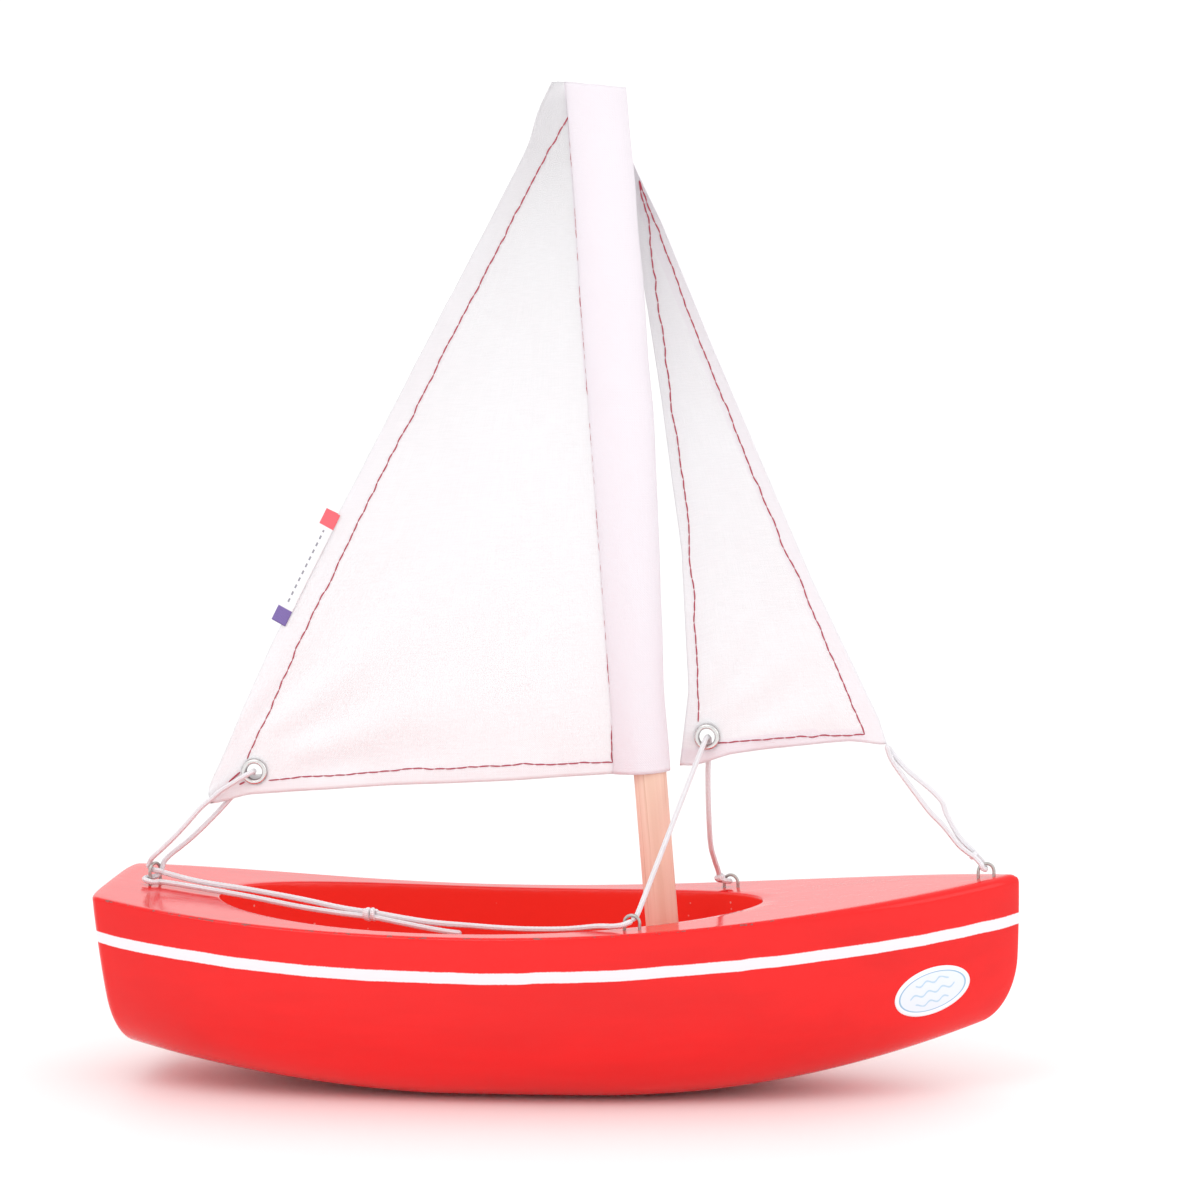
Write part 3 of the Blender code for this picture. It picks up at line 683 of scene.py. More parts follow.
def jibAxes():
    up = Vector(jibJoint["axis"]).normalized()
    eye = Vector(jibJoint["pos_m"])
    aft = (Vector((0, 0, -1)) + up * up.z).normalized()
    return eye, up, aft


jibLuff = ((36.9, 8.4), (39.8, 8.0), (43.4, 7.4), (80.7, 6.9), (112.2, 5.1), (143.8, 3.2), (174.9, 0.9),
           (187.5, 0.8), (195.0, 0.5), (202.5, -0.2))
jibLeech = ((54.3, 56.9), (69.5, 46.8), (101.1, 32.7), (135.9, 20.5), (171.0, 9.2), (182.5, 5.2),
            (202.5, 2.5))


def jibFoot(u):
    # Height along the hinge line of the foot, from tack to clew
    line = ((0.0, 36.9), (0.04, 37.6), (0.075, 38.8), (0.17, 41.4), (0.585, 48.7), (0.75, 51.3),
            (0.89, 52.2), (0.94, 52.6), (1.0, 54.3))
    return (alongLine(line, u) + alongLine(line, clamp(u - 0.02)) + alongLine(line, clamp(u + 0.02))) / 3


def jibSag(h, r, u):
    v = clamp((h - 40.0) / 160.0)
    belly = jib["belly"] * math.sin(math.pi * clamp(u)) ** 0.8
    belly = belly * math.sin(math.pi * clamp(v, 0.03, 1.0)) ** 0.7
    clew = Vector((h - 57.6, r - 47.6)).length
    held = ease((clew - 4.0) / 20.0) * ease(u * 4.0)
    crease = 0.28 * math.sin(math.atan2(h - 55.0, 58.0 - r) * 15.0) * ease((clew - 5.0) / 10.0)
    crease *= 1.0 - ease((clew - 14.0) / 40.0)
    pucker = 0.14 * math.sin(r / 2.6) * (1.0 - ease((h - jibFoot(u) - 1.0) / 7.0))
    return belly + held * 0.7 * rippled(h, r, 21.0) + crease + pucker


def jibSpot(u, v):
    # Where a share u of the way aft and v of the way up lies on the jib
    low = jibFoot(u)
    h = low + (202.1 - low) * v
    front = alongLine(jibLuff, h)
    back = alongLine(jibLeech, max(h, 54.3))
    return h, front + (back - front) * u


def jibPoint(h, r, u=0.5, lift=0.0):
    eye, up, aft = jibAxes()
    port = aft.cross(up) * -1.0
    if port.y < 0:
        port = -port
    return eye + up * (h * mm) + aft * (r * mm) + port * ((jibSag(h, r, u) + lift) * mm)


def buildJib(material):
    def place(u, v):
        h, r = jibSpot(u, v)
        return jibPoint(h, r, u)
    bm = wrappedGrid(64, 176, place, closedSeam=False, uvScale=lambda u, v: (u * 55.0, v * 165.0))
    flatArea = sum(f.calc_area() for f in bm.faces)
    pierce(bm, eyeletCentre("jib_clew_eyelet"))
    eye, up, aft = jibAxes()
    # Painted shade mask: how much darker the cloth is painted where it lies doubled
    doubled = bm.verts.layers.float.new("doubled")
    for vert in bm.verts:
        h, r = (vert.co - eye).dot(up) / mm, (vert.co - eye).dot(aft) / mm
        front, back = alongLine(jibLuff, h), alongLine(jibLeech, max(h, 54.3))
        low = jibFoot(clamp((r - front) / max(back - front, 0.1)))
        vert[doubled] = 0.4 if r - front < jib["hemLuff"] else 0.8 if h - low < jib["hemFoot"] else 0.0
    outwards(bm)
    obj = addObject("jibCloth", bm, material)
    solidified(obj, jib["cloth"])
    return obj, flatArea


def buildJibHems(material):
    lift = jib["cloth"] + 0.02

    def luff(u, v):
        h, front = jibSpot(0.0, v)
        back = jibSpot(1.0, v)[1]
        wide = min(jib["hemLuff"], (back - front) * 0.8)
        share = (0.2 + wide * u) / max(back - front, 0.1)
        h = max(h, jibFoot(clamp(share)) + 0.15)
        return h, front + 0.2 + wide * u, (0.2 + wide * u) / max(back - front, 0.1)

    def leech(u, v):
        h, back = jibSpot(1.0, v)
        front = jibSpot(0.0, v)[1]
        wide = min(jib["hemLeech"], (back - front) * 0.6)
        return h, back - 0.2 - wide * u, 1.0 - (0.2 + wide * u) / max(back - front, 0.1)

    def foot(u, v):
        across = 0.08 + 0.84 * v
        h, r = jibSpot(across, 0.0)
        return h + 0.2 + jib["hemFoot"] * u, r, across

    made = []
    for name, columns, rows, spot in (("jibLuffHem", 6, 170, luff), ("jibLeechHem", 6, 160, leech),
                                      ("jibFootHem", 5, 60, foot)):
        def place(u, v, spot=spot):
            h, r, share = spot(u, v)
            return jibPoint(h, r, share, lift)
        bm = outwards(wrappedGrid(columns, rows, place, closedSeam=False,
                                  uvScale=lambda u, v: (u * 4.0, v * 160.0)))
        made.append(solidified(addObject(name, bm, material), jib["cloth"] * 0.9))
    return made


def cotton(name, colour):
    # Plain-weave cotton: two sets of threads crossing, a little slub, and painted shade where the cloth lies
    # doubled, in place of light coming through it
    material = newMaterial(name, Roughness=0.88, Specular_IOR_Level=0.2, Sheen_Weight=0.25,
                           Sheen_Roughness=0.5)
    uv = addNode(material, "UVMap", uv_map="UVMap").outputs[0]
    apart = addNode(material, "SeparateXYZ", {0: uv})
    pitch = math.tau / 0.42
    warp = maths(material, "SINE", maths(material, "MULTIPLY", apart.outputs[0], pitch))
    weft = maths(material, "SINE", maths(material, "MULTIPLY", apart.outputs[1], pitch))
    weave = maths(material, "MULTIPLY", warp, weft)
    slubPoints = addNode(material, "Mapping", {"Vector": uv, "Scale": (3.2, 0.12, 1.0)}).outputs[0]
    slubAcross = addNode(material, "Mapping", {"Vector": uv, "Scale": (0.12, 3.2, 1.0)}).outputs[0]
    slub = maths(material, "ADD", grain(material, slubPoints, 1.0, 2.0),
                 grain(material, slubAcross, 1.0, 2.0))
    mottled = ramp(material, slub, 0.75, 1.25)
    darker = tuple(c * 0.955 for c in colour[:3]) + (1,)
    shade = mixColour(material, mottled, darker, colour)
    # Painted shade: where the cloth lies doubled (the sleeve and the hems) it is painted darker and pinker,
    # standing in for less light passing through two layers
    doubledShade = tuple(a * b for a, b in zip(colour[:3], (0.918, 0.85, 0.90))) + (1,)
    shade = mixColour(material, attribute(material, "doubled"), shade, doubledShade)
    threads = mixColour(material, ramp(material, weave, -0.9, 0.2),
                        tuple(c * 0.93 for c in colour[:3]) + (1,), shade)
    toShader(material, "Base Color", threads)
    normal = bumpFrom(material, weave, 0.00005, 0.7)
    normal = bumpFrom(material, slub, 0.00006, 0.7, normal=normal)
    toShader(material, "Normal", normal)
    return material


# Red lockstitch along the hems

def stitchRun(bm, spots, point, seed, doubled=False):
    # Separate stitches dipping into the cloth, along a line of sail positions
    lengths = [0.0]
    for a, b in zip(spots[:-1], spots[1:]):
        lengths.append(lengths[-1] + (Vector(b) - Vector(a)).length)
    total = lengths[-1]
    pitch = thread["stitch"] + thread["gap"]
    count = max(round(total / pitch), 1)

    def at(distance):
        distance = clamp(distance, 0.0, total)
        for i in range(len(spots) - 1):
            if distance <= lengths[i + 1]:
                break
        t = (distance - lengths[i]) / max(lengths[i + 1] - lengths[i], 1e-9)
        spot = Vector(spots[i]).lerp(Vector(spots[i + 1]), t)
        along = (Vector(spots[i + 1]) - Vector(spots[i])).normalized()
        sway = thread["wobble"] * (noise.noise(Vector((distance / 9.0, seed, 0.0)))
                                   + 0.5 * noise.noise(Vector((distance / 2.9, seed, 4.0))))
        return spot + Vector((-along.y, along.x)) * sway * (0.0 if doubled else 1.6)

    sides, rings = 6, 7
    for k in range(count):
        begin = k * total / count + thread["gap"] / 2
        long = total / count - thread["gap"]
        loop = []
        for j in range(rings):
            t = j / (rings - 1)
            spot = at(begin + long * t)
            ahead = at(begin + long * t + 0.2)
            dip = math.sin(math.pi * t) ** 0.3
            for face in (-1, 1):
                if face == -1:
                    loop.append((spot, ahead, dip, t))
        for face in (-1, 1):
            previous = None
            for spot, ahead, dip, t in loop:
                centre = point(spot.x, spot.y, face, dip)
                forward = (point(ahead.x, ahead.y, face, dip) - centre)
                forward = forward.normalized() if forward.length > 1e-9 else Vector((0, 0, 1))
                across = forward.cross(Vector((0, 1, 0))).normalized()
                lifted = across.cross(forward).normalized()
                thick = thread["radius"] * (0.55 + 0.45 * dip) * mm * (1.35 if doubled else 1.0)
                ring = [bm.verts.new(centre + across * math.cos(math.tau * i / sides) * thick
                                     + lifted * math.sin(math.tau * i / sides) * thick) for i in range(sides)]
                for i in range(sides):
                    bm.edges.new((ring[i], ring[(i + 1) % sides]))
                if previous:
                    for i in range(sides):
                        bm.faces.new((previous[i], previous[(i + 1) % sides], ring[(i + 1) % sides], ring[i]))
                else:
                    bm.faces.new(list(reversed(ring)))
                previous = ring
            bm.faces.new(previous)


def mainThread(h, r, face, dip):
    # A stitch's centre, just proud of the near or the far face of the mainsail
    hem = 0.36 if face > 0 else 0.0
    y = mainSag(h, r) + face * (mainsail["cloth"] / 2 + 0.10 * dip - 0.04) + hem
    return mainPoint(h, r, y)


def seamThread(h, r, face, dip):
    # A stitch through the sleeve's flap and the sail behind it
    hem = 0.47 if face > 0 else 0.0
    y = mainSag(h, r) + face * (mainsail["cloth"] / 2 + 0.10 * dip - 0.04) + hem
    return mainPoint(h, r, y)


def jibThread(h, r, face, dip):
    front = alongLine(jibLuff, h)
    back = alongLine(jibLeech, max(h, 54.3))
    share = clamp((r - front) / max(back - front, 0.1))
    hem = 0.36 if face > 0 else 0.0
    return jibPoint(h, r, share, face * (jib["cloth"] / 2 + 0.10 * dip - 0.04) + hem)


def buildStitches(material):
    main = bmesh.new()
    stitchRun(main, [(54.1, 8.9), (65.7, 8.1), (113.5, 7.8), (166.9, 7.5), (191.0, 7.0), (211.1, 6.9)],
              seamThread, 1.0)
    stitchRun(main, [(54.1, 8.9), (54.6, 20.0), (55.0, 31.8), (55.6, 60.0), (55.4, 90.0), (55.3, 94.3)],
              mainThread, 2.0)
    stitchRun(main, [(60.9, 99.2), (89.4, 83.2), (127.1, 60.5), (170.0, 33.6), (200.0, 14.6), (211.1, 6.9)],
              mainThread, 3.0)
    stitchRun(main, [(57.8, 101.2), (55.5, 104.3)], mainThread, 4.0, doubled=True)
    stitchRun(main, [(55.3, 100.3), (54.7, 101.7)], mainThread, 5.0, doubled=True)
    jibLines = bmesh.new()
    stitchRun(jibLines, [(41.4, 12.3), (63.6, 10.8), (111.5, 8.4), (149.5, 5.2), (186.0, 1.3)],
              jibThread, 6.0)
    stitchRun(jibLines, [(41.4, 12.3), (47.7, 26.9), (55.1, 46.2)], jibThread, 7.0)
    stitchRun(jibLines, [(61.8, 48.0), (66.6, 45.5), (77.7, 40.4), (109.5, 26.9), (149.5, 13.5), (177.4, 3.6),
                         (186.0, 1.3)], jibThread, 8.0)
    return (addObject("mainStitches", outwards(main), material),
            addObject("jibStitches", outwards(jibLines), material))


def redThread():
    material = newMaterial("redThread", Base_Color=(0.55, 0.05, 0.07, 1), Roughness=0.6, Sheen_Weight=0.3)
    twist = grain(material, objectPoints(material), 5200.0, 2.0)
    toShader(material, "Base Color", mixColour(material, twist, (0.30, 0.02, 0.05, 1), (0.52, 0.05, 0.09, 1)))
    toShader(material, "Normal", bumpFrom(material, twist, 0.00005))
    return material


# Metal fittings

def spun(section, steps=64):
    # A closed section in the XZ plane, turned about Z
    bm = bmesh.new()
    corners = [bm.verts.new((x * mm, 0.0, z * mm)) for x, z in section]
    edges = [bm.edges.new((corners[i], corners[(i + 1) % len(corners)])) for i in range(len(corners))]
    bmesh.ops.spin(bm, geom=corners + edges, cent=(0, 0, 0), axis=(0, 0, 1), angle=math.tau, steps=steps,
                   use_merge=True)
    bmesh.ops.remove_doubles(bm, verts=bm.verts, dist=1e-7)
    return bm


def rolledSection(side):
    # A rolled flange with a domed face, on the barrel that goes through the cloth
    e = eyelet
    base = side * 0.30
    middle = (e["hole"] + e["flange"]) / 2
    half = (e["flange"] - e["hole"]) / 2
    dome = [(middle + half * math.cos(a), base + side * e["height"] * math.sin(a) ** 0.8)
            for a in [math.pi * i / 12 for i in range(13)]]
    return dome + [(e["hole"], side * 0.02), (e["hole"] + 0.22, side * 0.02), (e["hole"] + 0.22, base)]


def buildEyelet(name, node, across, material):
    centre = eyeletCentre(node)
    made = []
    for part, side in (("Eyelet", -1), ("Washer", 1)):
        bm = spun(rolledSection(side))
        # Painted shade and dark reflection: a mask that is full on the barrel and the flange's foot, near the
        # cloth, and fades out halfway up the dome
        paintedRimShade = bm.verts.layers.float.new("paintedRimShade")
        for vert in bm.verts:
            vert[paintedRimShade] = clamp(1.15 - (abs(vert.co.z) / mm - 0.30) / 0.30)
        turn = Vector((0, 0, 1)).rotation_difference(across).to_matrix().to_4x4()
        bmesh.ops.transform(bm, matrix=Matrix.Translation(centre) @ turn, verts=bm.verts)
        made.append(addObject(name + part, outwards(bm), material))
    return made


def nickel():
    material = newMaterial("nickelPlate", Metallic=1.0, Roughness=0.24)
    scuffs = grain(material, objectPoints(material, (900, 900, 900)), 1.0, 3.0)
    bright = mixColour(material, scuffs, (0.60, 0.59, 0.58, 1), (0.80, 0.79, 0.78, 1))
    # Painted shade and dark reflection: where the mask is full, the plated metal is painted near-black
    toShader(material, "Base Color",
             mixColour(material, attribute(material, "paintedRimShade"), bright, (0.16, 0.14, 0.14, 1)))
    toShader(material, "Roughness", maths(material, "MULTIPLY_ADD", scuffs, 0.2, 0.14))
    toShader(material, "Normal", bumpFrom(material, scuffs, 0.00002))
    return material


def zincWire():
    material = newMaterial("zincWire", Metallic=1.0, Roughness=0.34)
    drawn = grain(material, objectPoints(material, (700, 700, 2200)), 1.0, 3.0)
    toShader(material, "Base Color", mixColour(material, drawn, (0.36, 0.34, 0.32, 1), (0.60, 0.58, 0.56, 1)))
    toShader(material, "Roughness", maths(material, "MULTIPLY_ADD", drawn, 0.25, 0.24))
    toShader(material, "Normal", bumpFrom(material, drawn, 0.00003))
    return material


def sweptTube(name, route, radius, material, sides=14, braid=0.0, caps=True):
    # A tube along a smooth route, with the over-and-under of a braid raised on its surface
    count = len(route)
    travelled = [0.0]
    for a, b in zip(route[:-1], route[1:]):
        travelled.append(travelled[-1] + (b - a).length / mm)
    frames = []
    across = None
    for i, p in enumerate(route):
        forward = (route[min(i + 1, count - 1)] - route[max(i - 1, 0)]).normalized()
        if across is None:
            across = forward.orthogonal().normalized()
        across = (across - forward * across.dot(forward)).normalized()
        frames.append((across.copy(), forward.cross(across)))

    def place(u, v):
        i = round(v * (count - 1))
        turn = math.tau * u
        a, b = frames[i]
        strand = math.sin(4 * turn + travelled[i] * 2.9) * math.sin(4 * turn - travelled[i] * 2.9)
        ends = min(i, count - 1 - i)
        taper = 1.0 if not caps else math.sqrt(clamp((ends + 0.6) / 2.4))
        reach = radius * taper * (1.0 + braid * strand) * mm
        return route[i] + a * math.cos(turn) * reach + b * math.sin(turn) * reach

    bm = wrappedGrid(sides, count - 1, place, uvScale=lambda u, v: (u * math.tau * radius, v * travelled[-1]))
    rims = [e for e in bm.edges if e.is_boundary]
    if rims:
        bmesh.ops.holes_fill(bm, edges=rims, sides=0)
    return addObject(name, outwards(bm), material)


def smoothRoute(points, step):
    # Points at an even step along the Catmull-Rom curve through a route in millimetres
    marks = [Vector(p) for p in points]
    marks = [2 * marks[0] - marks[1]] + marks + [2 * marks[-1] - marks[-2]]
    fine = []
    for i in range(1, len(marks) - 2):
        a, b, c, d = marks[i - 1:i + 3]
        for j in range(40):
            t = j / 40
            fine.append(0.5 * (2 * b + (c - a) * t + (2 * a - 5 * b + 4 * c - d) * t ** 2
                               + (3 * b - a - 3 * c + d) * t ** 3))
    fine.append(marks[-2])
    total = sum((q - p).length for p, q in zip(fine[:-1], fine[1:]))
    pieces = max(round(total / step), 4)
    spaced = [fine[0]]
    walked = 0.0
    for p, q in zip(fine[:-1], fine[1:]):
        span = (q - p).length
        while len(spaced) < pieces and walked + span >= len(spaced) * total / pieces:
            spaced.append(p.lerp(q, (len(spaced) * total / pieces - walked) / span))
        walked += span
    return [p * mm for p in spaced + [fine[-1]]], total * mm


def buildStaple(name, node, turn, material):
    # Bent from one wire: two legs driven into the deck and an arch between them
    low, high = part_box(node)
    middle = (low + high) / 2 / mm
    arch = staple["arch"]
    centre = Vector((middle.x, middle.y, high.z / mm - staple["wire"] - arch))
    across = Vector((math.cos(math.radians(turn)), math.sin(math.radians(turn)), 0))
    up = Vector((0, 0, 1))
    foot = low.z / mm - centre.z
    path = [centre + across * arch + up * foot * t for t in (1.0, 0.75, 0.5, 0.25, 0.1)]
    for i in range(13):
        a = math.pi * i / 12
        path.append(centre + across * math.cos(a) * arch + up * math.sin(a) * arch)
    path += [centre - across * arch + up * foot * t for t in (0.1, 0.25, 0.5, 0.75, 1.0)]
    route, _ = smoothRoute([tuple(p) for p in path], 0.25)
    return sweptTube(name, route, staple["wire"], material, sides=14)


# Cords: the same routes as the solids they stand for, run on through rings and knots

deckSheetRoute = ((-21.8, -20.2, 40.0), (-26.5, -19.1, 40.3), (-33.2, -17.5, 41.1), (-39.0, -16.2, 41.9),
                  (-42.5, -15.0, 42.3), (-45.1, -14.1, 42.5), (-52.8, -12.6, 43.0), (-63.1, -10.1, 43.9),
                  (-76.1, -7.0, 45.6), (-89.2, -3.8, 47.0), (-98.5, -1.7, 47.9), (-100.7, -2.8, 48.0),
                  (-101.9, -3.3, 48.3), (-103.1, -2.6, 48.6), (-103.2, -1.4, 48.8), (-102.2, -0.7, 48.9),
                  (-101.2, -0.3, 49.0), (-100.2, 0.0, 49.4), (-99.4, 0.5, 50.6))
foreSheetRoute = ((-102.3, -0.4, 51.0), (-101.0, -0.7, 50.7), (-99.6, -0.7, 50.5), (-98.4, -0.5, 50.0),
                  (-89.2, -2.5, 48.3), (-76.1, -5.7, 47.1), (-63.1, -8.8, 45.6), (-52.8, -11.3, 44.1),
                  (-45.1, -13.1, 43.4), (-42.3, -13.9, 43.2), (-35.8, -15.6, 42.5), (-29.0, -17.5, 42.0),
                  (-20.6, -19.8, 41.9), (-12.2, -21.8, 41.8), (-3.9, -23.8, 42.0), (4.4, -25.8, 42.6),
                  (12.0, -28.1, 43.8), (15.5, -29.5, 44.1), (17.9, -30.6, 44.6), (19.3, -30.5, 45.1),
                  (20.5, -29.6, 45.5))
clewSheetRoute = ((-102.3, -0.4, 51.0), (-102.5, -0.6, 51.9), (-101.9, -1.0, 53.2), (-101.2, -1.6, 54.1),
                  (-98.7, -1.8, 56.4), (-95.4, -1.9, 59.6), (-92.0, -1.9, 63.3), (-89.1, -1.8, 66.6),
                  (-86.3, -1.7, 69.0), (-83.8, -1.6, 71.1), (-81.3, -1.7, 72.7), (-78.9, -1.9, 74.2),
                  (-77.4, -1.8, 75.1), (-76.4, -1.1, 75.6), (-76.1, 0.0, 75.7), (-76.3, 1.2, 75.4),
                  (-77.0, 2.0, 74.6), (-78.2, 2.0, 73.4), (-79.9, 1.8, 71.4), (-81.9, 1.7, 69.1),
                  (-85.3, 1.7, 65.3), (-90.4, 1.8, 60.2), (-93.8, 1.7, 57.2), (-97.2, 1.5, 54.5),
                  (-98.7, 1.2, 53.0), (-99.2, 0.85, 51.9), (-99.4, 0.5, 50.6))
jibSheetRoute = ((20.5, -29.6, 45.5), (21.1, -28.9, 46.4), (21.9, -27.8, 47.6), (25.6, -18.4, 58.0),
                 (30.0, -7.4, 70.4), (33.4, 1.0, 79.8), (34.8, 4.0, 83.6), (35.4, 6.2, 84.9),
                 (35.8, 8.0, 84.0), (35.6, 8.8, 80.5), (35.4, 9.4, 76.0), (35.4, 10.2, 70.0),
                 (35.5, 11.8, 63.5), (35.7, 15.0, 56.7), (36.4, 18.5, 52.4), (37.0, 21.2, 49.6),
                 (37.3, 22.6, 47.6), (37.4, 24.0, 46.6), (38.4, 24.9, 46.2), (39.7, 24.1, 46.2),
                 (39.8, 22.7, 46.4), (38.7, 21.9, 46.7), (37.6, 22.2, 47.2))
forestayRoute = ((79.4, 1.7, 84.3), (80.4, 1.8, 81.3), (82.4, 1.7, 78.1), (86.1, 1.3, 73.2),
                 (89.9, 0.9, 68.3), (92.4, 0.7, 65.8), (94.3, 0.5, 63.7), (97.1, 0.1, 60.3),
                 (99.4, -0.5, 58.5), (101.0, -1.3, 57.6), (102.4, -2.2, 56.3), (103.0, -2.2, 55.1),
                 (103.6, -1.1, 54.6), (103.5, 0.3, 54.9), (102.9, 0.9, 56.0), (102.0, 0.8, 57.1),
                 (100.9, 0.8, 58.4), (99.3, 0.9, 59.9), (96.9, 1.2, 62.5), (94.1, 1.5, 67.5),
                 (92.9, 1.7, 70.6), (90.0, 1.9, 73.6), (85.0, 2.4, 77.6), (82.0, 2.7, 80.7),
                 (79.6, 2.9, 83.8))


def buildCord(name, points, material):
    route, length = smoothRoute(points, cord["step"])
    obj = sweptTube(name, route, cord["radius"], material, cord["sides"], cord["braid"])
    return obj, [tuple(p) for p in route], length


def buildKnot(name, centre, along, size, turns, material):
    # An overhand hitch: the cord winds round its own standing part and tucks under itself
    forward = Vector(along).normalized()
    across = forward.orthogonal().normalized()
    lifted = forward.cross(across)
    points = []
    count = int(turns * 16)
    for i in range(count + 1):
        a = math.tau * i / 16
        t = i / count
        reach = size[0] * (1.0 - 0.35 * abs(2 * t - 1) ** 3)
        shift = (t - 0.5) * size[1] + 0.25 * math.sin(a * 0.5)
        points.append(tuple(Vector(centre) + forward * shift + across * math.cos(a) * reach
                            + lifted * math.sin(a) * reach))
    route, _ = smoothRoute(points, cord["step"])
    return sweptTube(name, route, cord["radius"] * 0.92, material, 12, cord["braid"])


def braidedCord():
    material = newMaterial("braidedCord", Roughness=0.9, Specular_IOR_Level=0.2, Sheen_Weight=0.4,
                           Sheen_Roughness=0.6)
    uv = addNode(material, "UVMap", uv_map="UVMap").outputs[0]
    apart = addNode(material, "SeparateXYZ", {0: uv})
    left = maths(material, "MULTIPLY_ADD", apart.outputs[1], 9.0,
                 maths(material, "MULTIPLY", apart.outputs[0], 5.0))
    right = maths(material, "MULTIPLY_ADD", apart.outputs[1], 9.0,
                  maths(material, "MULTIPLY", apart.outputs[0], -5.0))
    strands = maths(material, "MULTIPLY", maths(material, "SINE", left), maths(material, "SINE", right))
    fibres = grain(material, objectPoints(material), 4200.0, 3.0)
    colour = mixColour(material, ramp(material, strands, -0.8, 0.4),
                       (0.72, 0.69, 0.73, 1), (0.90, 0.885, 0.91, 1))
    colour = mixColour(material, maths(material, "MULTIPLY", fibres, 0.25), colour, (0.80, 0.76, 0.78, 1))
    toShader(material, "Base Color", colour)
    normal = bumpFrom(material, strands, 0.00010, 0.8)
    toShader(material, "Normal", bumpFrom(material, fibres, 0.00006, 0.8, normal=normal))
    return material


# Woven tag and bow sticker

def buildTag(material):
    # A ribbon folded round the leech: near flap, fold and far flap in one strip
    low, high, wide = tag["low"], tag["high"], tag["width"]

    def place(u, v):
        h = low + (high - low) * v
        out = 2.45 + 0.4 * v
        s = (u - 0.5) * 2 * (wide + 0.6)
        reach = max(abs(s) - 0.6, 0.0)
        # Set square to the leech, which slopes: out runs up and aft together
        out -= reach
        if reach > 0:
            fold = ease((reach - 0.4) / 2.0)
            near = -0.22 - 0.18 * fold
            far = 0.22 + 0.56 * fold
            y = (near if s < 0 else far) + 0.05 * math.sin(h * 1.4)
        else:
            a = s / 0.6 * math.pi / 2
            out += 0.2 * math.cos(a)
            y = 0.22 * math.sin(a)
        edge = leechAft(h)
        return mainPoint(h + 0.535 * out, edge + 0.845 * out, mainSag(h, edge + min(0.845 * out, 0.0)) + y)

    bm = outwards(wrappedGrid(24, 60, place, closedSeam=False, uvScale=lambda u, v: (u, v)))
    return solidified(addObject("leechTag", bm, material), 0.16)


def wovenTag():
    material = newMaterial("wovenTag", Roughness=0.7, Sheen_Weight=0.3)
    uv = addNode(material, "UVMap", uv_map="UVMap").outputs[0]
    apart = addNode(material, "SeparateXYZ", {0: uv})
    across, along = apart.outputs[0], apart.outputs[1]
    upper = ramp(material, along, 0.865, 0.871)
    lower = ramp(material, along, 0.135, 0.129)
    # A plain running dash between the two coloured ends
    dash = maths(material, "SINE", maths(material, "MULTIPLY", along, 100.0))
    near = maths(material, "ABSOLUTE", maths(material, "ADD", across, -0.24))
    line = maths(material, "MULTIPLY", ramp(material, near, 0.034, 0.022), ramp(material, dash, -0.2, 0.1))
    middle = maths(material, "MULTIPLY", ramp(material, along, 0.84, 0.83), ramp(material, along, 0.16, 0.17))
    line = maths(material, "MULTIPLY", line, middle)
    colour = mixColour(material, line, (0.90, 0.90, 0.92, 1), (0.30, 0.30, 0.34, 1))
    colour = mixColour(material, upper, colour, (0.94, 0.13, 0.16, 1))
    colour = mixColour(material, lower, colour, (0.19, 0.13, 0.38, 1))
    toShader(material, "Base Color", colour)
    ribs = maths(material, "SINE", maths(material, "MULTIPLY", along, 420.0))
    toShader(material, "Normal", bumpFrom(material, ribs, 0.00003))
    return material


def buildSticker(material):
    # A thin oval of film that follows the starboard bow
    half, tilt = sticker["half"], sticker["tilt"]

    def place(u, v):
        a = math.tau * u
        across = half[0] * v * math.cos(a)
        up = half[1] * v * math.sin(a)
        x = sticker["centre"][0] + across * math.cos(tilt) - up * math.sin(tilt)
        z = sticker["centre"][1] + across * math.sin(tilt) + up * math.cos(tilt)
        pull = endPull(x, z)
        return Vector((x + pull, -sideY(x, z) - 0.10, z)) * mm

    def flat(u, v):
        return v * math.cos(math.tau * u), v * math.sin(math.tau * u)

    bm = wrappedGrid(72, 14, place, uvScale=flat)
    outwards(bm)
    if sum(f.normal.y * f.calc_area() for f in bm.faces) > 0:
        bmesh.ops.reverse_faces(bm, faces=bm.faces[:])
    return solidified(addObject("bowSticker", bm, material), 0.10, offset=0.0)


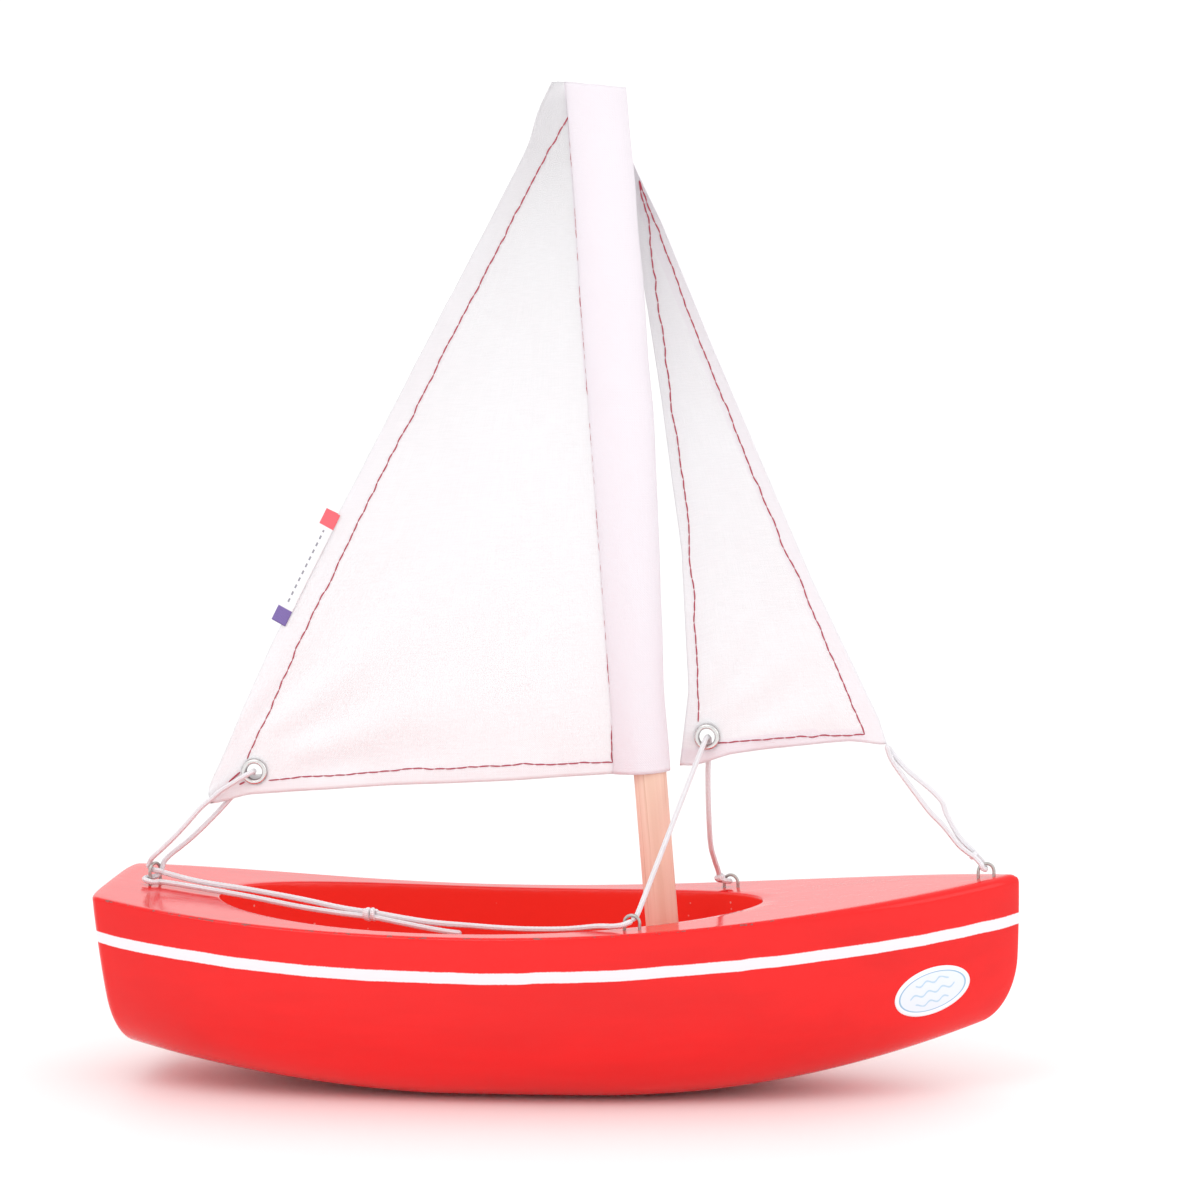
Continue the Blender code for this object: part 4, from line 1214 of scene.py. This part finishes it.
def printedFilm():
    material = newMaterial("printedFilm", Roughness=0.32, Coat_Weight=0.3, Coat_Roughness=0.2)
    uv = addNode(material, "UVMap", uv_map="UVMap").outputs[0]
    apart = addNode(material, "SeparateXYZ", {0: uv})
    x, y = apart.outputs[0], apart.outputs[1]
    out = maths(material, "SQRT", maths(material, "ADD", maths(material, "MULTIPLY", x, x),
                                        maths(material, "MULTIPLY", y, y)))
    # The printed ring keeps an even margin, so it is a rounder oval than the film
    wideX = maths(material, "DIVIDE", x, 0.885)
    wideY = maths(material, "DIVIDE", y, 0.80)
    inset = maths(material, "SQRT", maths(material, "ADD", maths(material, "MULTIPLY", wideX, wideX),
                                          maths(material, "MULTIPLY", wideY, wideY)))
    ring = maths(material, "MULTIPLY", ramp(material, inset, 0.955, 0.97), ramp(material, inset, 1.02, 1.005))
    # Three rows of plain waves
    swell = maths(material, "MULTIPLY", maths(material, "SINE", maths(material, "MULTIPLY", x, 17.0)), 0.075)
    level = maths(material, "MULTIPLY", maths(material, "ADD", y, swell), 2.3)
    rows = maths(material, "ABSOLUTE", maths(material, "SUBTRACT", maths(material, "FRACT",
                                             maths(material, "ADD", level, 10.5)), 0.5))
    inside = maths(material, "MULTIPLY", ramp(material, out, 0.62, 0.58), 1.0)
    tall = ramp(material, maths(material, "ABSOLUTE", y), 0.62, 0.60)
    waves = maths(material, "MULTIPLY", ramp(material, rows, 0.11, 0.07), inside)
    waves = maths(material, "MULTIPLY", waves, tall)
    tint = mixColour(material, ramp(material, inset, 1.0, 0.98), (0.93, 0.90, 0.94, 1), (0.78, 0.83, 0.93, 1))
    inked = mixColour(material, ring, tint, (0.30, 0.50, 0.68, 1))
    inked = mixColour(material, maths(material, "MULTIPLY", waves, 0.75), inked, (0.38, 0.58, 0.74, 1))
    toShader(material, "Base Color", inked)
    fine = grain(material, objectPoints(material), 1500.0, 2.0)
    toShader(material, "Roughness", maths(material, "MULTIPLY_ADD", fine, 0.15, 0.24))
    toShader(material, "Normal", bumpFrom(material, fine, 0.00003))
    return material


def plainSteel():
    material = newMaterial("ballastSteel", Metallic=1.0, Roughness=0.5)
    scale = grain(material, objectPoints(material), 400.0, 5.0)
    toShader(material, "Base Color", mixColour(material, scale, (0.20, 0.20, 0.21, 1), (0.42, 0.41, 0.42, 1)))
    toShader(material, "Normal", bumpFrom(material, scale, 0.0001))
    return material


# Room: pale floor, soft light and the camera

def buildRoom():
    floorMaterial = newMaterial("paleFloor", Base_Color=(0.95, 0.95, 0.95, 1), Roughness=0.6)
    bm = bmesh.new()
    bmesh.ops.create_grid(bm, x_segments=2, y_segments=2, size=studio["floorSize"] / 2)
    floor = addObject("floor", bm, floorMaterial)
    floor.location.z = -0.0002
    world = bpy.data.worlds.new("softWorld")
    bpy.context.scene.world = world
    world.use_nodes = True
    background = world.node_tree.nodes["Background"]
    background.inputs["Color"].default_value = (1, 1, 1, 1)
    background.inputs["Strength"].default_value = studio["world"]
    for name, place, power, size in (("keyLight", (-0.5, -0.9, 1.3), studio["keyPower"], studio["keySize"]),
                                     ("fillLight", (1.1, -0.6, 0.7), studio["fillPower"], 0.8)):
        light = bpy.data.lights.new(name, "AREA")
        light.energy = power
        light.size = size
        lamp = bpy.data.objects.new(name, light)
        lamp.location = place
        lamp.rotation_euler = (Vector((0, 0, 0.1)) - Vector(place)).to_track_quat("-Z", "Y").to_euler()
        bpy.context.scene.collection.objects.link(lamp)


def buildCamera():
    target = Vector(camera["target"]) * mm
    azimuth = math.radians(camera["azimuth"])
    elevation = math.radians(camera["elevation"])
    back = Vector((math.sin(azimuth) * math.cos(elevation), -math.cos(azimuth) * math.cos(elevation),
                   math.sin(elevation)))
    data = bpy.data.cameras.new("photoCamera")
    data.lens = camera["lens"]
    data.clip_start = 0.01
    obj = bpy.data.objects.new("photoCamera", data)
    obj.location = target + back * camera["distance"] * mm
    obj.rotation_euler = (-back).to_track_quat("-Z", "Y").to_euler()
    bpy.context.scene.collection.objects.link(obj)
    bpy.context.scene.camera = obj


buildRoom()
buildCamera()
bpy.context.scene.view_settings.view_transform = "Standard"
print("room and camera ready")

cordMaterial = braidedCord()
deckSheet, deckPath, deckLength = buildCord("deckSheetCord", deckSheetRoute, cordMaterial)
foreSheet, forePath, foreLength = buildCord("foreSheetCord", foreSheetRoute, cordMaterial)
clewSheet, clewPath, clewLength = buildCord("clewSheetCord", clewSheetRoute, cordMaterial)
jibSheet, jibPath, jibLength = buildCord("jibSheetCord", jibSheetRoute, cordMaterial)
forestay, stayPath, stayLength = buildCord("forestayCord", forestayRoute, cordMaterial)
sheetKnot = buildKnot("sheetHitch", (-45.0, -13.7, 43.0), (1.0, -0.25, 0.0), (1.15, 3.2), 3.2, cordMaterial)
portKnot = buildKnot("jibSheetHitch", (37.4, 22.5, 47.2), (0.2, 0.1, 1.0), (0.8, 1.7), 2.2, cordMaterial)
bowKnot = buildKnot("forestayHitch", (100.7, -0.2, 58.0), (0.7, 0.0, -0.7), (0.75, 1.3), 1.7, cordMaterial)
for piece in (deckSheet, foreSheet, sheetKnot, portKnot):
    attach(piece, "boat")
for piece in (forestay, bowKnot):
    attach(piece, "headsail")
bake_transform(clewSheet)
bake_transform(jibSheet)
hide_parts("sheet_tail", "sheet_run_near")
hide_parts("sheet_run_far", "sheet_fore_run")
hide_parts("clew_sheet")
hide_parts("jib_sheet")
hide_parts("forestay_near", "forestay_far", "bow_loop")
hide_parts("sheet_knot")
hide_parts("jib_sheet_knot")
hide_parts("bow_knot")
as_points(deckPath)
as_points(forePath)
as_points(clewPath)
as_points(jibPath)
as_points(stayPath)
print("cords laid:", [round(x, 4) for x in (deckLength, foreLength, clewLength, jibLength, stayLength)])

lacquerMaterial = lacquer()
hullBody = buildHull(lacquerMaterial)
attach(hullBody, "boat")
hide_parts("hull")
frame["nodes"]["ballast_plug"].data.materials.clear()
frame["nodes"]["ballast_plug"].data.materials.append(lacquerMaterial)
frame["nodes"]["ballast_slug"].data.materials.clear()
frame["nodes"]["ballast_slug"].data.materials.append(plainSteel())
mastDowel = buildMast(bareWood())
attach(mastDowel, "boat")
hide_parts("mast")
print("hull and mast built")

wireMaterial = zincWire()
for name, node, turn in (("sternStaple", "stern_eye", 60.0), ("bowStaple", "bow_eye", 8.0),
                         ("starboardStaple", "starboard_eye", -13.0), ("portStaple", "port_eye", -22.0)):
    piece = buildStaple(name, node, turn, wireMaterial)
    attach(piece, "boat")
    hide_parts(node)
nickelMaterial = nickel()
_, jibUp, jibAft = jibAxes()
for name, node, across, body in (("mainClew", "main_clew_eyelet", Vector((0, 1, 0)), "main"),
                                 ("jibClew", "jib_clew_eyelet", jibAft.cross(jibUp) * -1, "headsail")):
    if across.y < 0:
        across = -across
    front, back = buildEyelet(name, node, across, nickelMaterial)
    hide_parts(node)
    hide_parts(node.replace("eyelet", "washer"))
    for piece in (front, back):
        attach(piece, body)
print("metal fittings built")

sailCotton = cotton("sailCotton", (0.915, 0.905, 0.922, 1))
mainCloth, mainArea = buildMainsail(sailCotton)
jibCloth, jibArea = buildJib(sailCotton)
mainHems = buildMainHems(sailCotton)
jibHems = buildJibHems(sailCotton)
stitchMaterial = redThread()
mainStitches, jibStitches = buildStitches(stitchMaterial)
leechTag = buildTag(wovenTag())
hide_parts("mainsail")
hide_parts("jib")
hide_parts("leech_tag")
for piece in [mainCloth, mainStitches, leechTag] + mainHems:
    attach(piece, "main")
for piece in [jibCloth, jibStitches] + jibHems:
    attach(piece, "headsail")
print("sails made")

bowSticker = buildSticker(printedFilm())
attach(bowSticker, "boat")
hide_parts("bow_sticker")
print("sticker on")
